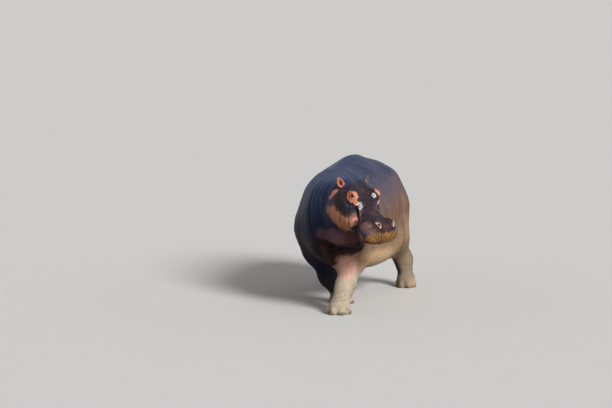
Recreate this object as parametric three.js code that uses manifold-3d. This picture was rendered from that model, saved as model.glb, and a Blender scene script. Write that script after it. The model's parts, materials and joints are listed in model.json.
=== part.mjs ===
// A common hippopotamus at life size, caught in mid-stride with its head turned to its left.
// Millimetres, +Z up. It faces -Y and its own left side is +X. The origin is the floor point
// under the middle of its bounding box.
//
// The flesh is one soft union of rounded masses, named after the anatomy they stand for.
// Each node is that flesh meshed at its own cell size and parted from its neighbours by
// thin cuts; eyes, ears and nails are shapes of their own, let into the flesh.
import * as THREE from "three";
import { mergeVertices } from "three/addons/utils/BufferGeometryUtils.js";
import Module from "manifold-3d";

const wasm = await Module();
wasm.setup();

// ---- Driving dimensions -------------------------------------------------------------------

const backHeight = 1500; // highest point of the back, over the loin
const barrelHalfWidth = 555; // half the width of the belly
const gap = 0.4; // thin cut between two pieces that touch
const headLook = 56; // degrees the muzzle is turned to the animal's left
const headDrop = 37; // degrees the muzzle points below the horizon
const headLean = 0; // degrees the head leans over, left side up
const eyeLine = [572, -1250, 1297]; // point midway between the two eyes
const eyeSpread = 163; // each eye's distance from the middle of the head
const eyeRadius = 25;
const cell = { trunk: 132, neck: 104, head: 50, limb: 65, foot: 52 }; // the spacing of each mesh

const neckSeam = { point: [120, -640, 1350], heading: -64, lean: 25 }; // plane between trunk and neck
const headCorner = [-250, 0, -500]; // where the seam behind the jaw turns forward under the chin
const headSeamTurn = [-24, 0, -15]; // so it faces along the neck and climbs to behind the ears

// The line the mouth closes on and its run back across the cheek, in the head frame's x and z.
const mouthLine = [
  [-700, -430], [-100, -270], [90, -190], [165, -160], [280, -236], [420, -264], [640, -264],
];

// Where each foot stands, which way its toes point, the leg's joints above it from the
// shoulder or hip down, and the leg's thickness there.
const legs = {
  fore_L: {
    heading: 8,
    joints: [[235, -660, 800], [285, -745, 540], [272, -985, 285], [245, -1085, 120]],
    radii: [200, 138, 90, 92],
    foot: [238, -1120],
    size: 1,
  },
  fore_R: {
    heading: 2,
    joints: [[-165, -590, 800], [-170, -555, 575], [-70, -440, 285], [42, -385, 120]],
    radii: [195, 112, 90, 92],
    foot: [68, -400],
    size: 1,
  },
  hind_L: {
    heading: 6,
    joints: [[225, 830, 850], [320, 700, 560], [392, 890, 300], [425, 872, 120]],
    radii: [215, 150, 84, 82],
    foot: [436, 845],
    size: 0.84,
  },
  hind_R: {
    heading: -8,
    joints: [[-225, 800, 850], [-310, 570, 560], [-285, 700, 300], [-262, 655, 120]],
    radii: [215, 150, 84, 82],
    foot: [-258, 628],
    size: 0.84,
  },
};
const toeRing = { reach: 96, spread: [-78, -27, 27, 78], radius: 40, height: 50 };
const ankle = 132; // height of the cut between leg and foot
const sleeve = [ // the round cut that parts a leg from the trunk, along its two lower bones
  { radius: 178, above: 0, below: 90 },
  { radius: 165, above: 60, below: 300 },
];
const nail = { sink: 14, radii: [15, 22, 23], height: 28 }; // sink: its middle's depth in the toe

// Each eye looks outwards and a little forwards; each ear stands up and back from the crown.
const gaze = [0.12, 0.95, 0.08];
const eyeBack = -22; // the eyes' place along the head
const eyeRoot = [eyeBack, eyeSpread - 60, -4]; // inside the head, where the line of sight starts
const eyeShows = 5; // how far the eyeball stands out of the flesh
const ear = {
  at: [-250, 172, -22],
  axis: { _L: [-0.78, 0.66, 0.5], _R: [-0.75, 0.36, 0.6] }, // towards each tip
  opening: [0.61, 0.6, 0.5], // the way the cup faces
  radii: [25, 36, 61], // half its thickness, width and length
  cup: [0.78, 0.8, 0.84], // the hollow's radii, over the ear's own
  cupAt: [17, 0, 8],
};
const nostril = { at: [432, 84, 2], radii: [26, 16, 22], turn: [18, 25, 0] };

const tail = [[0, 1150, 1120], [0, 1235, 1030], [0, 1268, 900], [0, 1276, 770], [0, 1270, 690]];
const tailRadii = [58, 44, 33, 25, 12];

// ---- Distance fields ----------------------------------------------------------------------
// A field is a function of a point that is negative inside the shape and grows about as fast
// as the distance to its surface.

// Soft union: the two surfaces run together over the width k.
function softMin(a, b, k) {
  const h = Math.max(k - Math.abs(a - b), 0) / k;
  return Math.min(a, b) - (h * h * k) / 4;
}

// A rounded mass: |x/a|^n + |y/b|^n + |z/c|^n = 1, over the size of its gradient. n is 2 for
// an ellipsoid and more for a boxier form. turn is [yaw, pitch, roll] in degrees.
function mass(centre, radii, { turn = [0, 0, 0], power = 2 } = {}) {
  const [yaw, pitch, roll] = turn.map(THREE.MathUtils.degToRad);
  const spin = new THREE.Matrix4().makeRotationFromEuler(new THREE.Euler(pitch, roll, yaw, "ZXY"));
  const e = spin.transpose().elements;
  const [a, b, c] = radii;
  return (x, y, z) => {
    const dx = x - centre[0];
    const dy = y - centre[1];
    const dz = z - centre[2];
    const u = Math.abs(e[0] * dx + e[4] * dy + e[8] * dz) / a;
    const v = Math.abs(e[1] * dx + e[5] * dy + e[9] * dz) / b;
    const w = Math.abs(e[2] * dx + e[6] * dy + e[10] * dz) / c;
    const k = Math.max((u ** power + v ** power + w ** power) ** (1 / power), 1e-6);
    const q = power - 1;
    const slope = Math.hypot((u / k) ** q / a, (v / k) ** q / b, (w / k) ** q / c);
    return (k - 1) / Math.max(slope, 1e-6);
  };
}

// The same mass on both sides of the middle plane, which is x = 0 in the body's frame.
function pair(centre, radii, options = {}) {
  const side = mass(centre, radii, options);
  return (x, y, z) => side(Math.abs(x), y, z);
}

// The same for the head, whose middle plane is y = 0 in its own frame.
function headPair(centre, radii, options = {}) {
  const side = mass(centre, radii, options);
  return (x, y, z) => side(x, Math.abs(y), z);
}

// A tapered capsule between two points.
function bone(p, q, r0, r1) {
  const d = [q[0] - p[0], q[1] - p[1], q[2] - p[2]];
  const len2 = d[0] ** 2 + d[1] ** 2 + d[2] ** 2;
  return (x, y, z) => {
    const along = ((x - p[0]) * d[0] + (y - p[1]) * d[1] + (z - p[2]) * d[2]) / len2;
    const t = Math.min(Math.max(along, 0), 1);
    const away = Math.hypot(x - p[0] - t * d[0], y - p[1] - t * d[1], z - p[2] - t * d[2]);
    return away - (r0 + (r1 - r0) * t);
  };
}

// Masses run together one after another, each with its own blend width.
function blended(parts) {
  return (x, y, z) => {
    let d = parts[0].field(x, y, z);
    for (let i = 1; i < parts.length; i++) {
      const { field, blend } = parts[i];
      const e = field(x, y, z);
      if (e < d + blend) d = softMin(d, e, blend);
    }
    return d;
  };
}

// ---- The flesh ----------------------------------------------------------------------------

const trunkMasses = [
  { field: mass([-6, 150, 850], [barrelHalfWidth - 45, 860, 485], { power: 2.2 }), blend: 0 }, // barrel
  { field: mass([-20, 230, backHeight - 475], [387, 690, 412]), blend: 150 }, // loin
  { field: mass([-15, 250, backHeight - 160], [85, 430, 132]), blend: 160 }, // ridge of the spine
  { field: mass([0, 820, 915], [380, 410, 450], { power: 2.2 }), blend: 150 }, // rump
  { field: pair([250, 700, 1170], [105, 190, 110]), blend: 130 }, // points of the hips
  { field: mass([75, -560, 910], [395, 430, 450], { turn: [11, 0, 0] }), blend: 160 }, // chest
  { field: mass([16, -420, 1150], [318, 480, 275], { turn: [9, 0, 0] }), blend: 160 }, // withers
  { field: mass([35, 300, 600], [450, 640, 308], { power: 2.3 }), blend: 120 }, // sag of the belly
  { field: mass([120, -850, 760], [270, 230, 250], { turn: [15, 0, 0] }), blend: 120 }, // brisket
];

const neckMasses = [
  { field: mass([150, -800, 960], [345, 300, 430], { turn: [24, 0, 0] }), blend: 150 }, // root
  { field: mass([265, -965, 1080], [258, 270, 335], { turn: [40, -12, 0] }), blend: 120 },
  { field: mass([335, -1060, 900], [200, 230, 210], { turn: [48, -25, 0] }), blend: 120 }, // throat
];

// Head frame: x forward along the muzzle, y to the head's left, z up from the brow.
const degrees = THREE.MathUtils.degToRad;
const headFrame = new THREE.Matrix4()
  .makeTranslation(...eyeLine)
  .multiply(new THREE.Matrix4().makeRotationZ(degrees(headLook - 90)))
  .multiply(new THREE.Matrix4().makeRotationY(degrees(headDrop)))
  .multiply(new THREE.Matrix4().makeRotationX(degrees(headLean)));
const intoHead = headFrame.clone().invert().elements;

const headMasses = [
  { field: mass([-135, 0, -108], [215, 168, 108]), blend: 0 }, // skull
  { field: mass([-235, 0, -188], [165, 190, 160]), blend: 90 }, // nape
  { field: headPair([-180, 88, -58], [108, 66, 68]), blend: 60 }, // sides of the crown
  { field: mass([150, 0, -128], [270, 122, 100], { power: 2.4 }), blend: 90 }, // bridge
  { field: mass([385, 0, -150], [122, 198, 112], { power: 2.7 }), blend: 70 }, // muzzle
  { field: headPair([362, 138, -172], [118, 82, 95], { power: 2.2 }), blend: 50 }, // whisker pads
  { field: headPair([390, 84, -36], [60, 42, 42]), blend: 45 }, // nostril mounds
  { field: headPair([eyeBack, eyeSpread - 45, -40], [105, 62, 62]), blend: 60 }, // brow ridges
  { field: headPair([eyeBack + 4, eyeSpread - 18, -12], [60, 40, 46]), blend: 45 }, // eye turrets
  { field: headPair([-55, 168, -215], [165, 82, 150], { power: 2.3 }), blend: 60 }, // cheeks
  { field: headPair([100, 160, -235], [115, 66, 88]), blend: 50 }, // lip corner
  { field: headPair([225, 118, -205], [140, 50, 66]), blend: 50 }, // lips
  { field: mass([185, 0, -258], [265, 145, 72], { power: 2.5 }), blend: 50 }, // lower jaw
  { field: headPair([-98, 160, -322], [130, 88, 118]), blend: 50 }, // angle of the jaw
];
const headOnly = blended(headMasses);
const head = (x, y, z) => {
  const m = intoHead;
  return headOnly(
    m[0] * x + m[4] * y + m[8] * z + m[12],
    m[1] * x + m[5] * y + m[9] * z + m[13],
    m[2] * x + m[6] * y + m[10] * z + m[14],
  );
};

// A point on the foot's front arc, turned with the foot.
function toePlace(leg, angle, reach) {
  const turn = degrees(leg.heading - 90 + angle);
  return [leg.foot[0] + reach * Math.cos(turn), leg.foot[1] + reach * Math.sin(turn)];
}

// A leg: tapered bones from shoulder or hip to ankle, a broad foot, and four toes.
function legMasses(leg) {
  const { joints, radii, foot, size } = leg;
  const out = [];
  for (let i = 0; i + 1 < joints.length; i++)
    out.push({
      field: bone(joints[i], joints[i + 1], radii[i], radii[i + 1]),
      blend: i ? 90 : 200,
    });
  const pad = [108 * size, 112 * size, 80];
  out.push({ field: mass([foot[0], foot[1], 62], pad, { power: 2.2 }), blend: 60 });
  for (const angle of toeRing.spread) {
    const [x, y] = toePlace(leg, angle, toeRing.reach * size);
    const r = toeRing.radius * size;
    out.push({ field: mass([x, y, 36], [r, r, toeRing.height]), blend: 18 });
  }
  return out;
}

const flesh = blended([
  ...trunkMasses,
  ...neckMasses,
  { field: head, blend: 95 },
  ...Object.values(legs).flatMap(legMasses),
]);

// ---- From field to solid ------------------------------------------------------------------

// The surface where a field is zero, on a grid of square cells: one vertex in each cell that
// the surface crosses, moved onto it, and one quad round each grid edge that it crosses.
function surfaceOf(field, low, high, side) {
  const n = low.map((v, i) => Math.ceil((high[i] - v) / side) + 1);
  const inBox = (x, y, z) =>
    Math.max(low[0] + side - x, x - high[0] + side, low[1] + side - y, y - high[1] + side,
      low[2] + side - z, z - high[2] + side);
  const value = (x, y, z) => Math.max(field(x, y, z), inBox(x, y, z));
  const at = (i, j, k) => (k * n[1] + j) * n[0] + i;
  const grid = new Float64Array(n[0] * n[1] * n[2]);
  for (let k = 0; k < n[2]; k++)
    for (let j = 0; j < n[1]; j++)
      for (let i = 0; i < n[0]; i++)
        grid[at(i, j, k)] = value(low[0] + i * side, low[1] + j * side, low[2] + k * side);

  const corners = [0, 1, 2, 3, 4, 5, 6, 7].map((c) => [c & 1, (c >> 1) & 1, c >> 2]);
  const edges = [];
  for (let p = 0; p < 8; p++)
    for (const bit of [1, 2, 4]) if (!(p & bit)) edges.push([p, p | bit]);

  const vertexOf = new Map();
  const points = [];
  for (let k = 0; k + 1 < n[2]; k++)
    for (let j = 0; j + 1 < n[1]; j++)
      for (let i = 0; i + 1 < n[0]; i++) {
        const v = corners.map(([a, c, d]) => grid[at(i + a, j + c, k + d)]);
        if (v.every((d) => d < 0) || v.every((d) => d >= 0)) continue;
        const sum = [0, 0, 0];
        let hits = 0;
        for (const [p, q] of edges) {
          if (v[p] < 0 === v[q] < 0) continue;
          const t = v[p] / (v[p] - v[q]);
          for (let axis = 0; axis < 3; axis++)
            sum[axis] += corners[p][axis] + t * (corners[q][axis] - corners[p][axis]);
          hits++;
        }
        vertexOf.set(at(i, j, k), points.length);
        const start = [i, j, k].map((c, axis) => low[axis] + (c + sum[axis] / hits) * side);
        points.push(ontoSurface(value, start, side / 2));
      }

  const triangles = [];
  const quad = (a, c, d, e) => {
    if (distance(points[a], points[d]) <= distance(points[c], points[e]))
      triangles.push(a, c, d, a, d, e);
    else triangles.push(a, c, e, c, d, e);
  };
  for (let k = 1; k + 1 < n[2]; k++)
    for (let j = 1; j + 1 < n[1]; j++)
      for (let i = 1; i + 1 < n[0]; i++) {
        const inside = grid[at(i, j, k)] < 0;
        const ring = [
          [at(i + 1, j, k), [0, 0, 0], [0, -1, 0], [0, -1, -1], [0, 0, -1]],
          [at(i, j + 1, k), [0, 0, 0], [0, 0, -1], [-1, 0, -1], [-1, 0, 0]],
          [at(i, j, k + 1), [0, 0, 0], [-1, 0, 0], [-1, -1, 0], [0, -1, 0]],
        ];
        for (const [next, ...cells] of ring) {
          if (grid[next] < 0 === inside) continue;
          const q = cells.map(([a, c, d]) => vertexOf.get(at(i + a, j + c, k + d)));
          if (inside) q.reverse();
          quad(q[0], q[3], q[2], q[1]);
        }
      }
  return solidFrom(new Float32Array(points.flat()), new Uint32Array(triangles));
}

const distance = (p, q) => Math.hypot(p[0] - q[0], p[1] - q[1], p[2] - q[2]);

// Slides a point along the field's gradient onto the surface, unless that is too far away.
function ontoSurface(value, start, furthest) {
  const step = 0.5;
  let p = start;
  for (let round = 0; round < 3; round++) {
    const d = value(...p);
    const g = [0, 1, 2].map((axis) => {
      const q = [...p];
      q[axis] += step;
      return (value(...q) - d) / step;
    });
    const size2 = Math.max(g[0] ** 2 + g[1] ** 2 + g[2] ** 2, 0.2);
    const next = p.map((c, axis) => c - (d * g[axis]) / size2);
    if (distance(next, start) > furthest) break;
    p = next;
  }
  return p;
}

function solidFrom(vertProperties, triVerts) {
  return new wasm.Manifold(new wasm.Mesh({ numProp: 3, vertProperties, triVerts }));
}

// A closed three.js geometry as a solid, placed by a matrix.
function solidOf(geometry, matrix = new THREE.Matrix4()) {
  const bare = geometry.clone();
  bare.deleteAttribute("normal");
  bare.deleteAttribute("uv");
  const merged = mergeVertices(bare.applyMatrix4(matrix), 1e-3);
  return solidFrom(merged.attributes.position.array, new Uint32Array(merged.index.array));
}

// A box given by two opposite corners, in the frame of a matrix.
function block(low, high, matrix = new THREE.Matrix4()) {
  const middle = new THREE.Matrix4().makeTranslation(...low.map((v, i) => (v + high[i]) / 2));
  const size = low.map((v, i) => high[i] - v);
  return solidOf(new THREE.BoxGeometry(...size), matrix.clone().multiply(middle));
}

// An ellipsoid inside the frame of a matrix; its poles lie along that frame's z axis.
function ellipsoid(radii, matrix, around = 14, high = 8) {
  const ball = new THREE.SphereGeometry(1, around, high).rotateX(Math.PI / 2);
  return solidOf(ball.scale(...radii), matrix);
}

// A place turned by [yaw, pitch, roll] in degrees.
function placed(centre, turn) {
  const [yaw, pitch, roll] = turn.map(degrees);
  const spin = new THREE.Matrix4().makeRotationFromEuler(new THREE.Euler(pitch, roll, yaw, "ZXY"));
  return new THREE.Matrix4().makeTranslation(...centre).multiply(spin);
}

// The two sides of a seam: beyond is the piece its x axis points to, behind is the other.
function sides({ point, heading, lean }) {
  const frame = placed(point, [heading, 0, -lean]);
  const far = 4000;
  return {
    beyond: block([gap / 2, -far, -far], [far, far, far], frame),
    behind: block([-far, -far, -far], [-gap / 2, far, far], frame),
  };
}

// A round bar that tapers along a smooth curve, closed at both ends.
function taperedBar(points, radii, grow = 0, around = 8, along = 10) {
  const curve = new THREE.CatmullRomCurve3(points.map((p) => new THREE.Vector3(...p)));
  const bar = new THREE.TubeGeometry(curve, along, 1, around, false);
  const centres = curve.getSpacedPoints(along);
  const place = bar.attributes.position;
  const v = new THREE.Vector3();
  for (let i = 0; i < place.count; i++) {
    const ring = Math.floor(i / (around + 1));
    const t = (ring / along) * (radii.length - 1);
    const k = Math.min(Math.floor(t), radii.length - 2);
    const r = radii[k] + (radii[k + 1] - radii[k]) * (t - k) + grow;
    v.fromBufferAttribute(place, i).sub(centres[ring]).multiplyScalar(r).add(centres[ring]);
    place.setXYZ(i, v.x, v.y, v.z);
  }
  const position = Array.from(place.array);
  const index = Array.from(bar.index.array);
  for (const [ring, flip] of [[0, false], [along, true]]) {
    const tip = position.length / 3;
    const out = curve.getTangentAt(ring / along).multiplyScalar((flip ? 1 : -1) * (8 + grow));
    position.push(...centres[ring].clone().add(out).toArray());
    const start = ring * (around + 1);
    for (let i = 0; i < around; i++)
      if (flip) index.push(tip, start + i + 1, start + i);
      else index.push(tip, start + i, start + i + 1);
  }
  const closed = new THREE.BufferGeometry().setIndex(index);
  closed.setAttribute("position", new THREE.Float32BufferAttribute(position, 3));
  return solidOf(closed);
}

// The largest connected piece of a solid.
const largest = (solid) =>
  solid.decompose().reduce((best, next) => (next.volume() > best.volume() ? next : best));

// ---- Pieces -------------------------------------------------------------------------------

const hide = { color: 0x5d4c4b, roughness: 0.42, metalness: 0 };
const paleHide = { color: 0xa08a7c, roughness: 0.5, metalness: 0 };
const horn = { color: 0xb3a48e, roughness: 0.5, metalness: 0 };
const eyeball = { color: 0x24160f, roughness: 0.12, metalness: 0 };
const pieces = [];

// Legs and feet come first, because the trunk and the neck are cut to clear them. The cut is
// a round sleeve along the two lower bones, which ends square across the elbow or stifle.
function sleeveOf(leg, grow) {
  const [upper, lower] = sleeve.map(({ radius, above, below }, i) => {
    const top = new THREE.Vector3(...leg.joints[i + 1]);
    const end = new THREE.Vector3(...leg.joints[i + 2]);
    const length = top.distanceTo(end) + above + below;
    const tube = new THREE.CylinderGeometry(radius + grow, radius + grow, length + grow, 16);
    tube.rotateX(Math.PI / 2).translate(0, 0, (length - grow) / 2 - above);
    const place = new THREE.Matrix4().lookAt(end, top, new THREE.Vector3(1, 0, 0)).setPosition(top);
    return solidOf(tube, place);
  });
  return upper.add(lower);
}

const trimmed = [];
for (const [name, leg] of Object.entries(legs)) {
  const [x, y] = leg.foot;
  const ends = leg.joints.slice(1).concat([[x, y, 0]]);
  const room = 260; // round the bones, so that the whole leg is in its box
  const low = [0, 1].map((i) => Math.min(...ends.map((p) => p[i])) - room);
  const high = [0, 1].map((i) => Math.max(...ends.map((p) => p[i])) + room);
  trimmed.push(sleeveOf(leg, gap));

  const side = name.slice(-2);
  const kind = name.slice(0, 4);
  const limb = surfaceOf(flesh, [...low, -100], [...high, 760], cell.limb)
    .intersect(sleeveOf(leg, 0))
    .intersect(block([...low, ankle + gap / 2], [...high, 900]));
  pieces.push([`${kind}leg${side}`, largest(limb), paleHide]);

  const half = [200, 210]; // of the foot's box
  let foot = surfaceOf(flesh, [x - half[0], y - half[1], -80], [x + half[0], y + half[1], 212], cell.foot)
    .intersect(block([x - half[0], y - half[1], 0], [x + half[0], y + half[1], ankle - gap / 2]));
  toeRing.spread.forEach((angle, i) => {
    const reach = (toeRing.reach + toeRing.radius) * leg.size - nail.sink;
    const at = [...toePlace(leg, angle, reach), nail.height];
    const place = placed(at, [leg.heading - 90 + angle, 0, 0]);
    const radii = nail.radii.map((r) => r * leg.size);
    foot = foot.subtract(ellipsoid(radii.map((r) => r + gap), place, 7, 4));
    pieces.push([`nail_${kind}${side}${i + 1}`, ellipsoid(radii, place, 7, 4), horn]);
  });
  pieces.push([`${kind}foot${side}`, largest(foot), paleHide]);
}
const clear = (solid) => trimmed.reduce((left, cut) => left.subtract(cut), solid);

const neckSides = sides(neckSeam);
const behindJaw = headFrame.clone().multiply(placed(headCorner, headSeamTurn));
const headBlock = (grow) => block([-grow, -900, -grow], [1500, 900, 1500], behindJaw); // holds it all
const tailBar = taperedBar(tail, tailRadii);
const trunk = clear(surfaceOf(flesh, [-760, -1250, 150], [760, 1420, 1650], cell.trunk))
  .intersect(neckSides.behind)
  .subtract(headBlock(gap))
  .subtract(taperedBar(tail, tailRadii, gap));
pieces.push(["trunk", largest(trunk), hide]);
pieces.push(["tail", tailBar, hide]);

const neck = clear(surfaceOf(flesh, [-420, -1500, 380], [800, -300, 1650], cell.neck))
  .intersect(neckSides.beyond)
  .subtract(headBlock(gap));
pieces.push(["neck", largest(neck), hide]);

// The head is meshed in its own frame, then set in place.
const inHead = (x, y, z) => {
  const m = headFrame.elements;
  return flesh(
    m[0] * x + m[4] * y + m[8] * z + m[12],
    m[1] * x + m[5] * y + m[9] * z + m[13],
    m[2] * x + m[6] * y + m[10] * z + m[14],
  );
};
const wholeHead = surfaceOf(inHead, [-620, -440, -620], [580, 570, 150], cell.head)
  .transform(headFrame.toArray())
  .intersect(headBlock(0));

function jawRegion(drop) {
  const shape = new THREE.Shape(mouthLine.map(([x, z]) => new THREE.Vector2(x, z - drop)));
  shape.lineTo(640, -900);
  shape.lineTo(-700, -900);
  const slab = new THREE.ExtrudeGeometry(shape, { depth: 1000, bevelEnabled: false });
  slab.rotateX(Math.PI / 2).translate(0, 500, 0);
  return solidOf(slab, headFrame);
}
let headPiece = wholeHead.subtract(jawRegion(0));
pieces.push(["lower_jaw", largest(wholeHead.intersect(jawRegion(gap))), hide]);

for (const [side, sign] of [["_L", 1], ["_R", -1]]) {
  const mirror = ([x, y, z]) => [x, y * sign, z];
  const mirrorTurn = ([yaw, pitch, roll]) => [yaw * sign, pitch, roll * sign];

  // The eyeball sits where its line of sight leaves the flesh.
  const look = new THREE.Vector3(...mirror(gaze)).normalize();
  const along = (t) => mirror(eyeRoot).map((v, i) => v + look.getComponent(i) * t);
  let reach = 40;
  while (inHead(...along(reach)) < 0) reach += 0.5;
  const eyePlace = headFrame.clone().multiply(placed(along(reach + eyeShows - eyeRadius), [0, 0, 0]));
  const ball = (r) => ellipsoid([r, r, r], eyePlace, 10, 7);
  headPiece = headPiece.subtract(ball(eyeRadius + gap));
  pieces.push([`eye${side}`, ball(eyeRadius), eyeball]);

  // The ear is an ellipsoid hollowed by a smaller one that lies a little towards its opening.
  const z = new THREE.Vector3(...mirror(ear.axis[side])).normalize();
  const y = z.clone().cross(new THREE.Vector3(...mirror(ear.opening))).normalize();
  const x = y.clone().cross(z);
  const earPlace = headFrame.clone().multiply(
    new THREE.Matrix4().makeBasis(x, y, z).setPosition(...mirror(ear.at)),
  );
  const outer = (grow) => ellipsoid(ear.radii.map((r) => r + grow), earPlace, 10, 6);
  const cupPlace = earPlace.clone().multiply(placed(ear.cupAt, [0, 0, 0]));
  const cup = ellipsoid(ear.radii.map((r, i) => r * ear.cup[i]), cupPlace, 9, 6);
  headPiece = headPiece.subtract(outer(gap));
  pieces.push([`ear${side}`, outer(0).subtract(cup), hide]);

  const pit = headFrame.clone().multiply(placed(mirror(nostril.at), mirrorTurn(nostril.turn)));
  headPiece = headPiece.subtract(ellipsoid(nostril.radii, pit, 10, 6));
}
pieces.push(["head", largest(headPiece), hide]);

// ---- The model ----------------------------------------------------------------------------

const boxes = pieces.map(([, solid]) => solid.boundingBox());
const [middleX, middleY] = [0, 1].map((i) =>
  (Math.min(...boxes.map((box) => box.min[i])) + Math.max(...boxes.map((box) => box.max[i]))) / 2);

const hippopotamus = new THREE.Group();
for (const [name, solid, finish] of pieces) {
  const { vertProperties, triVerts } = solid.translate([-middleX, -middleY, 0]).getMesh();
  const geometry = new THREE.BufferGeometry();
  geometry.setAttribute("position", new THREE.BufferAttribute(new Float32Array(vertProperties), 3));
  geometry.setIndex(new THREE.BufferAttribute(new Uint32Array(triVerts), 1));
  geometry.computeVertexNormals();
  const node = new THREE.Mesh(geometry, new THREE.MeshStandardMaterial(finish));
  node.name = name;
  hippopotamus.add(node);
}

export default hippopotamus;
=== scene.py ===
# A hippopotamus in mid-stride: one seamless skin over the CAD frame, with eyes, nails and bristles.
import json
import math

import bpy
import numpy as np
from mathutils import Matrix, Vector

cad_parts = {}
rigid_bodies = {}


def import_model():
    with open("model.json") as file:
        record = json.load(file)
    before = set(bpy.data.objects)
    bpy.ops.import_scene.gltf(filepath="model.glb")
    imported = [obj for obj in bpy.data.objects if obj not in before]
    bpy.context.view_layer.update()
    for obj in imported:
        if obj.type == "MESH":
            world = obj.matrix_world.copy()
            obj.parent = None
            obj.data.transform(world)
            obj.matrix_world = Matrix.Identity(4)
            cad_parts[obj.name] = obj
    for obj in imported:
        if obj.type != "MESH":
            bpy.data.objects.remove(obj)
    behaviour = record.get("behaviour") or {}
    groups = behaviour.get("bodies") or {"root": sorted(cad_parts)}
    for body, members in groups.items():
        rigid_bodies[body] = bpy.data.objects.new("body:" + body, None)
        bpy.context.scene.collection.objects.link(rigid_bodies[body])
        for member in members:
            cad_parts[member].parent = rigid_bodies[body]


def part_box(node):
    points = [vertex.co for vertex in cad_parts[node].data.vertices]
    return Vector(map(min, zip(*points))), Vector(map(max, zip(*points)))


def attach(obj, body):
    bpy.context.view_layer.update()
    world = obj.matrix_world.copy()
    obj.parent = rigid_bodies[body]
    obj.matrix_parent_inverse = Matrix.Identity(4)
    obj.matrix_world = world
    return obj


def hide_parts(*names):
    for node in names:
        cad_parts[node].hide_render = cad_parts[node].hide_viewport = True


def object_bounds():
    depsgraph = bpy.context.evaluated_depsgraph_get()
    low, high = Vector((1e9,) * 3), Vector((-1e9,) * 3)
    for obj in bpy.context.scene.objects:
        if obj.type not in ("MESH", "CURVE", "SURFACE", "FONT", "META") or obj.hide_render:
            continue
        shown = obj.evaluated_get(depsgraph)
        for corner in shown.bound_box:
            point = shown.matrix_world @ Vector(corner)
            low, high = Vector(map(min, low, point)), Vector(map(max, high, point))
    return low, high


for old in list(bpy.data.objects):
    bpy.data.objects.remove(old)
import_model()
cadLow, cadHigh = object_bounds()
print("frame loaded")

# The body's own frame is in millimetres: it faces -Y and its left side is +X. The head's frame lies
# between the eyes: x forward along the muzzle, y to the head's left, z up from the brow.
pose = {
    "headLook": 56,  # degrees the muzzle is turned to the animal's left
    "headDrop": 37,  # degrees it points below the horizon
    "eyeLine": (572, -1250, 1297),  # the head frame's origin, in the body's frame
    "eyeAt": (-13.76, 168.25, 1.49),  # the left eyeball's middle, in the head's frame
    "eyeRadius": 25,
    "floor": 0.0,
}


# Turn about z by yaw, after a turn about x by pitch, after a turn about y by roll, in degrees.
def spinOf(yaw, pitch=0, roll=0):
    turns = ((yaw, "Z"), (pitch, "X"), (roll, "Y"))
    z, x, y = [Matrix.Rotation(math.radians(angle), 3, axis) for angle, axis in turns]
    return np.array(z @ x @ y)


headSpin = spinOf(pose["headLook"] - 90) @ spinOf(0, 0, pose["headDrop"])
headAt = np.array(pose["eyeLine"], float)
eyeBoxes = [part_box(name) for name in ("eye_L", "eye_R")]
eyeMiddle = sum((np.array(corner) for box in eyeBoxes for corner in box), np.zeros(3)) / 4 * 1000
betweenEyes = np.array(pose["eyeAt"]) * (1, 0, 1)
bodyShift = headAt + headSpin @ betweenEyes - eyeMiddle  # body frame minus row frame


# Body millimetres to the row's metres.
def toRow(points):
    return (points - bodyShift) / 1000


# Body frame to head frame.
def toHead(points):
    return (points - headAt) @ headSpin


# Head frame to body frame.
def fromHead(points):
    return points @ headSpin.T + headAt


# The vector over its length.
def unit(vector):
    vector = np.array(vector, float)
    return vector / np.linalg.norm(vector)


# 0 below low, 1 above high, and 3t^2 - 2t^3 between them.
def smoothStep(low, high, value):
    t = np.clip((value - low) / (high - low), 0, 1)
    return t * t * (3 - 2 * t)


# exp(-(value / width)^2): 1 in the middle, next to nothing two widths away.
def bell(value, width):
    return np.exp(-((value / width) ** 2))


# The flesh is rounded masses that run together, the same ones as the CAD solids: each has a middle,
# three radii and a blend width with the ones before it, and may be turned, squared off by a power
# over 2, or mirrored in an axis (both). The head's are in its own frame.
fleshMasses = [
    dict(at=(-6, 150, 850), radii=(510, 860, 485), power=2.2),  # barrel
    dict(at=(-20, 230, 1025), radii=(387, 690, 412), blend=150),  # loin
    dict(at=(-15, 250, 1340), radii=(85, 430, 132), blend=160),  # ridge of the spine
    dict(at=(0, 820, 915), radii=(380, 410, 450), blend=150, power=2.2),  # rump
    dict(at=(250, 700, 1170), radii=(105, 190, 110), blend=130, both=0),  # points of the hips
    dict(at=(75, -560, 910), radii=(395, 430, 450), blend=160, turn=(11, 0, 0)),  # chest
    dict(at=(16, -420, 1150), radii=(318, 480, 275), blend=160, turn=(9, 0, 0)),  # withers
    dict(at=(35, 300, 600), radii=(450, 640, 308), blend=120, power=2.3),  # sag of the belly
    dict(at=(120, -850, 760), radii=(270, 230, 250), blend=120, turn=(15, 0, 0)),  # brisket
    dict(at=(150, -800, 960), radii=(345, 300, 430), blend=150, turn=(24, 0, 0)),  # root of the neck
    dict(at=(265, -965, 1080), radii=(258, 270, 335), blend=120, turn=(40, -12, 0)),
    dict(at=(335, -1060, 900), radii=(200, 230, 210), blend=120, turn=(48, -25, 0)),  # throat
]
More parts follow.
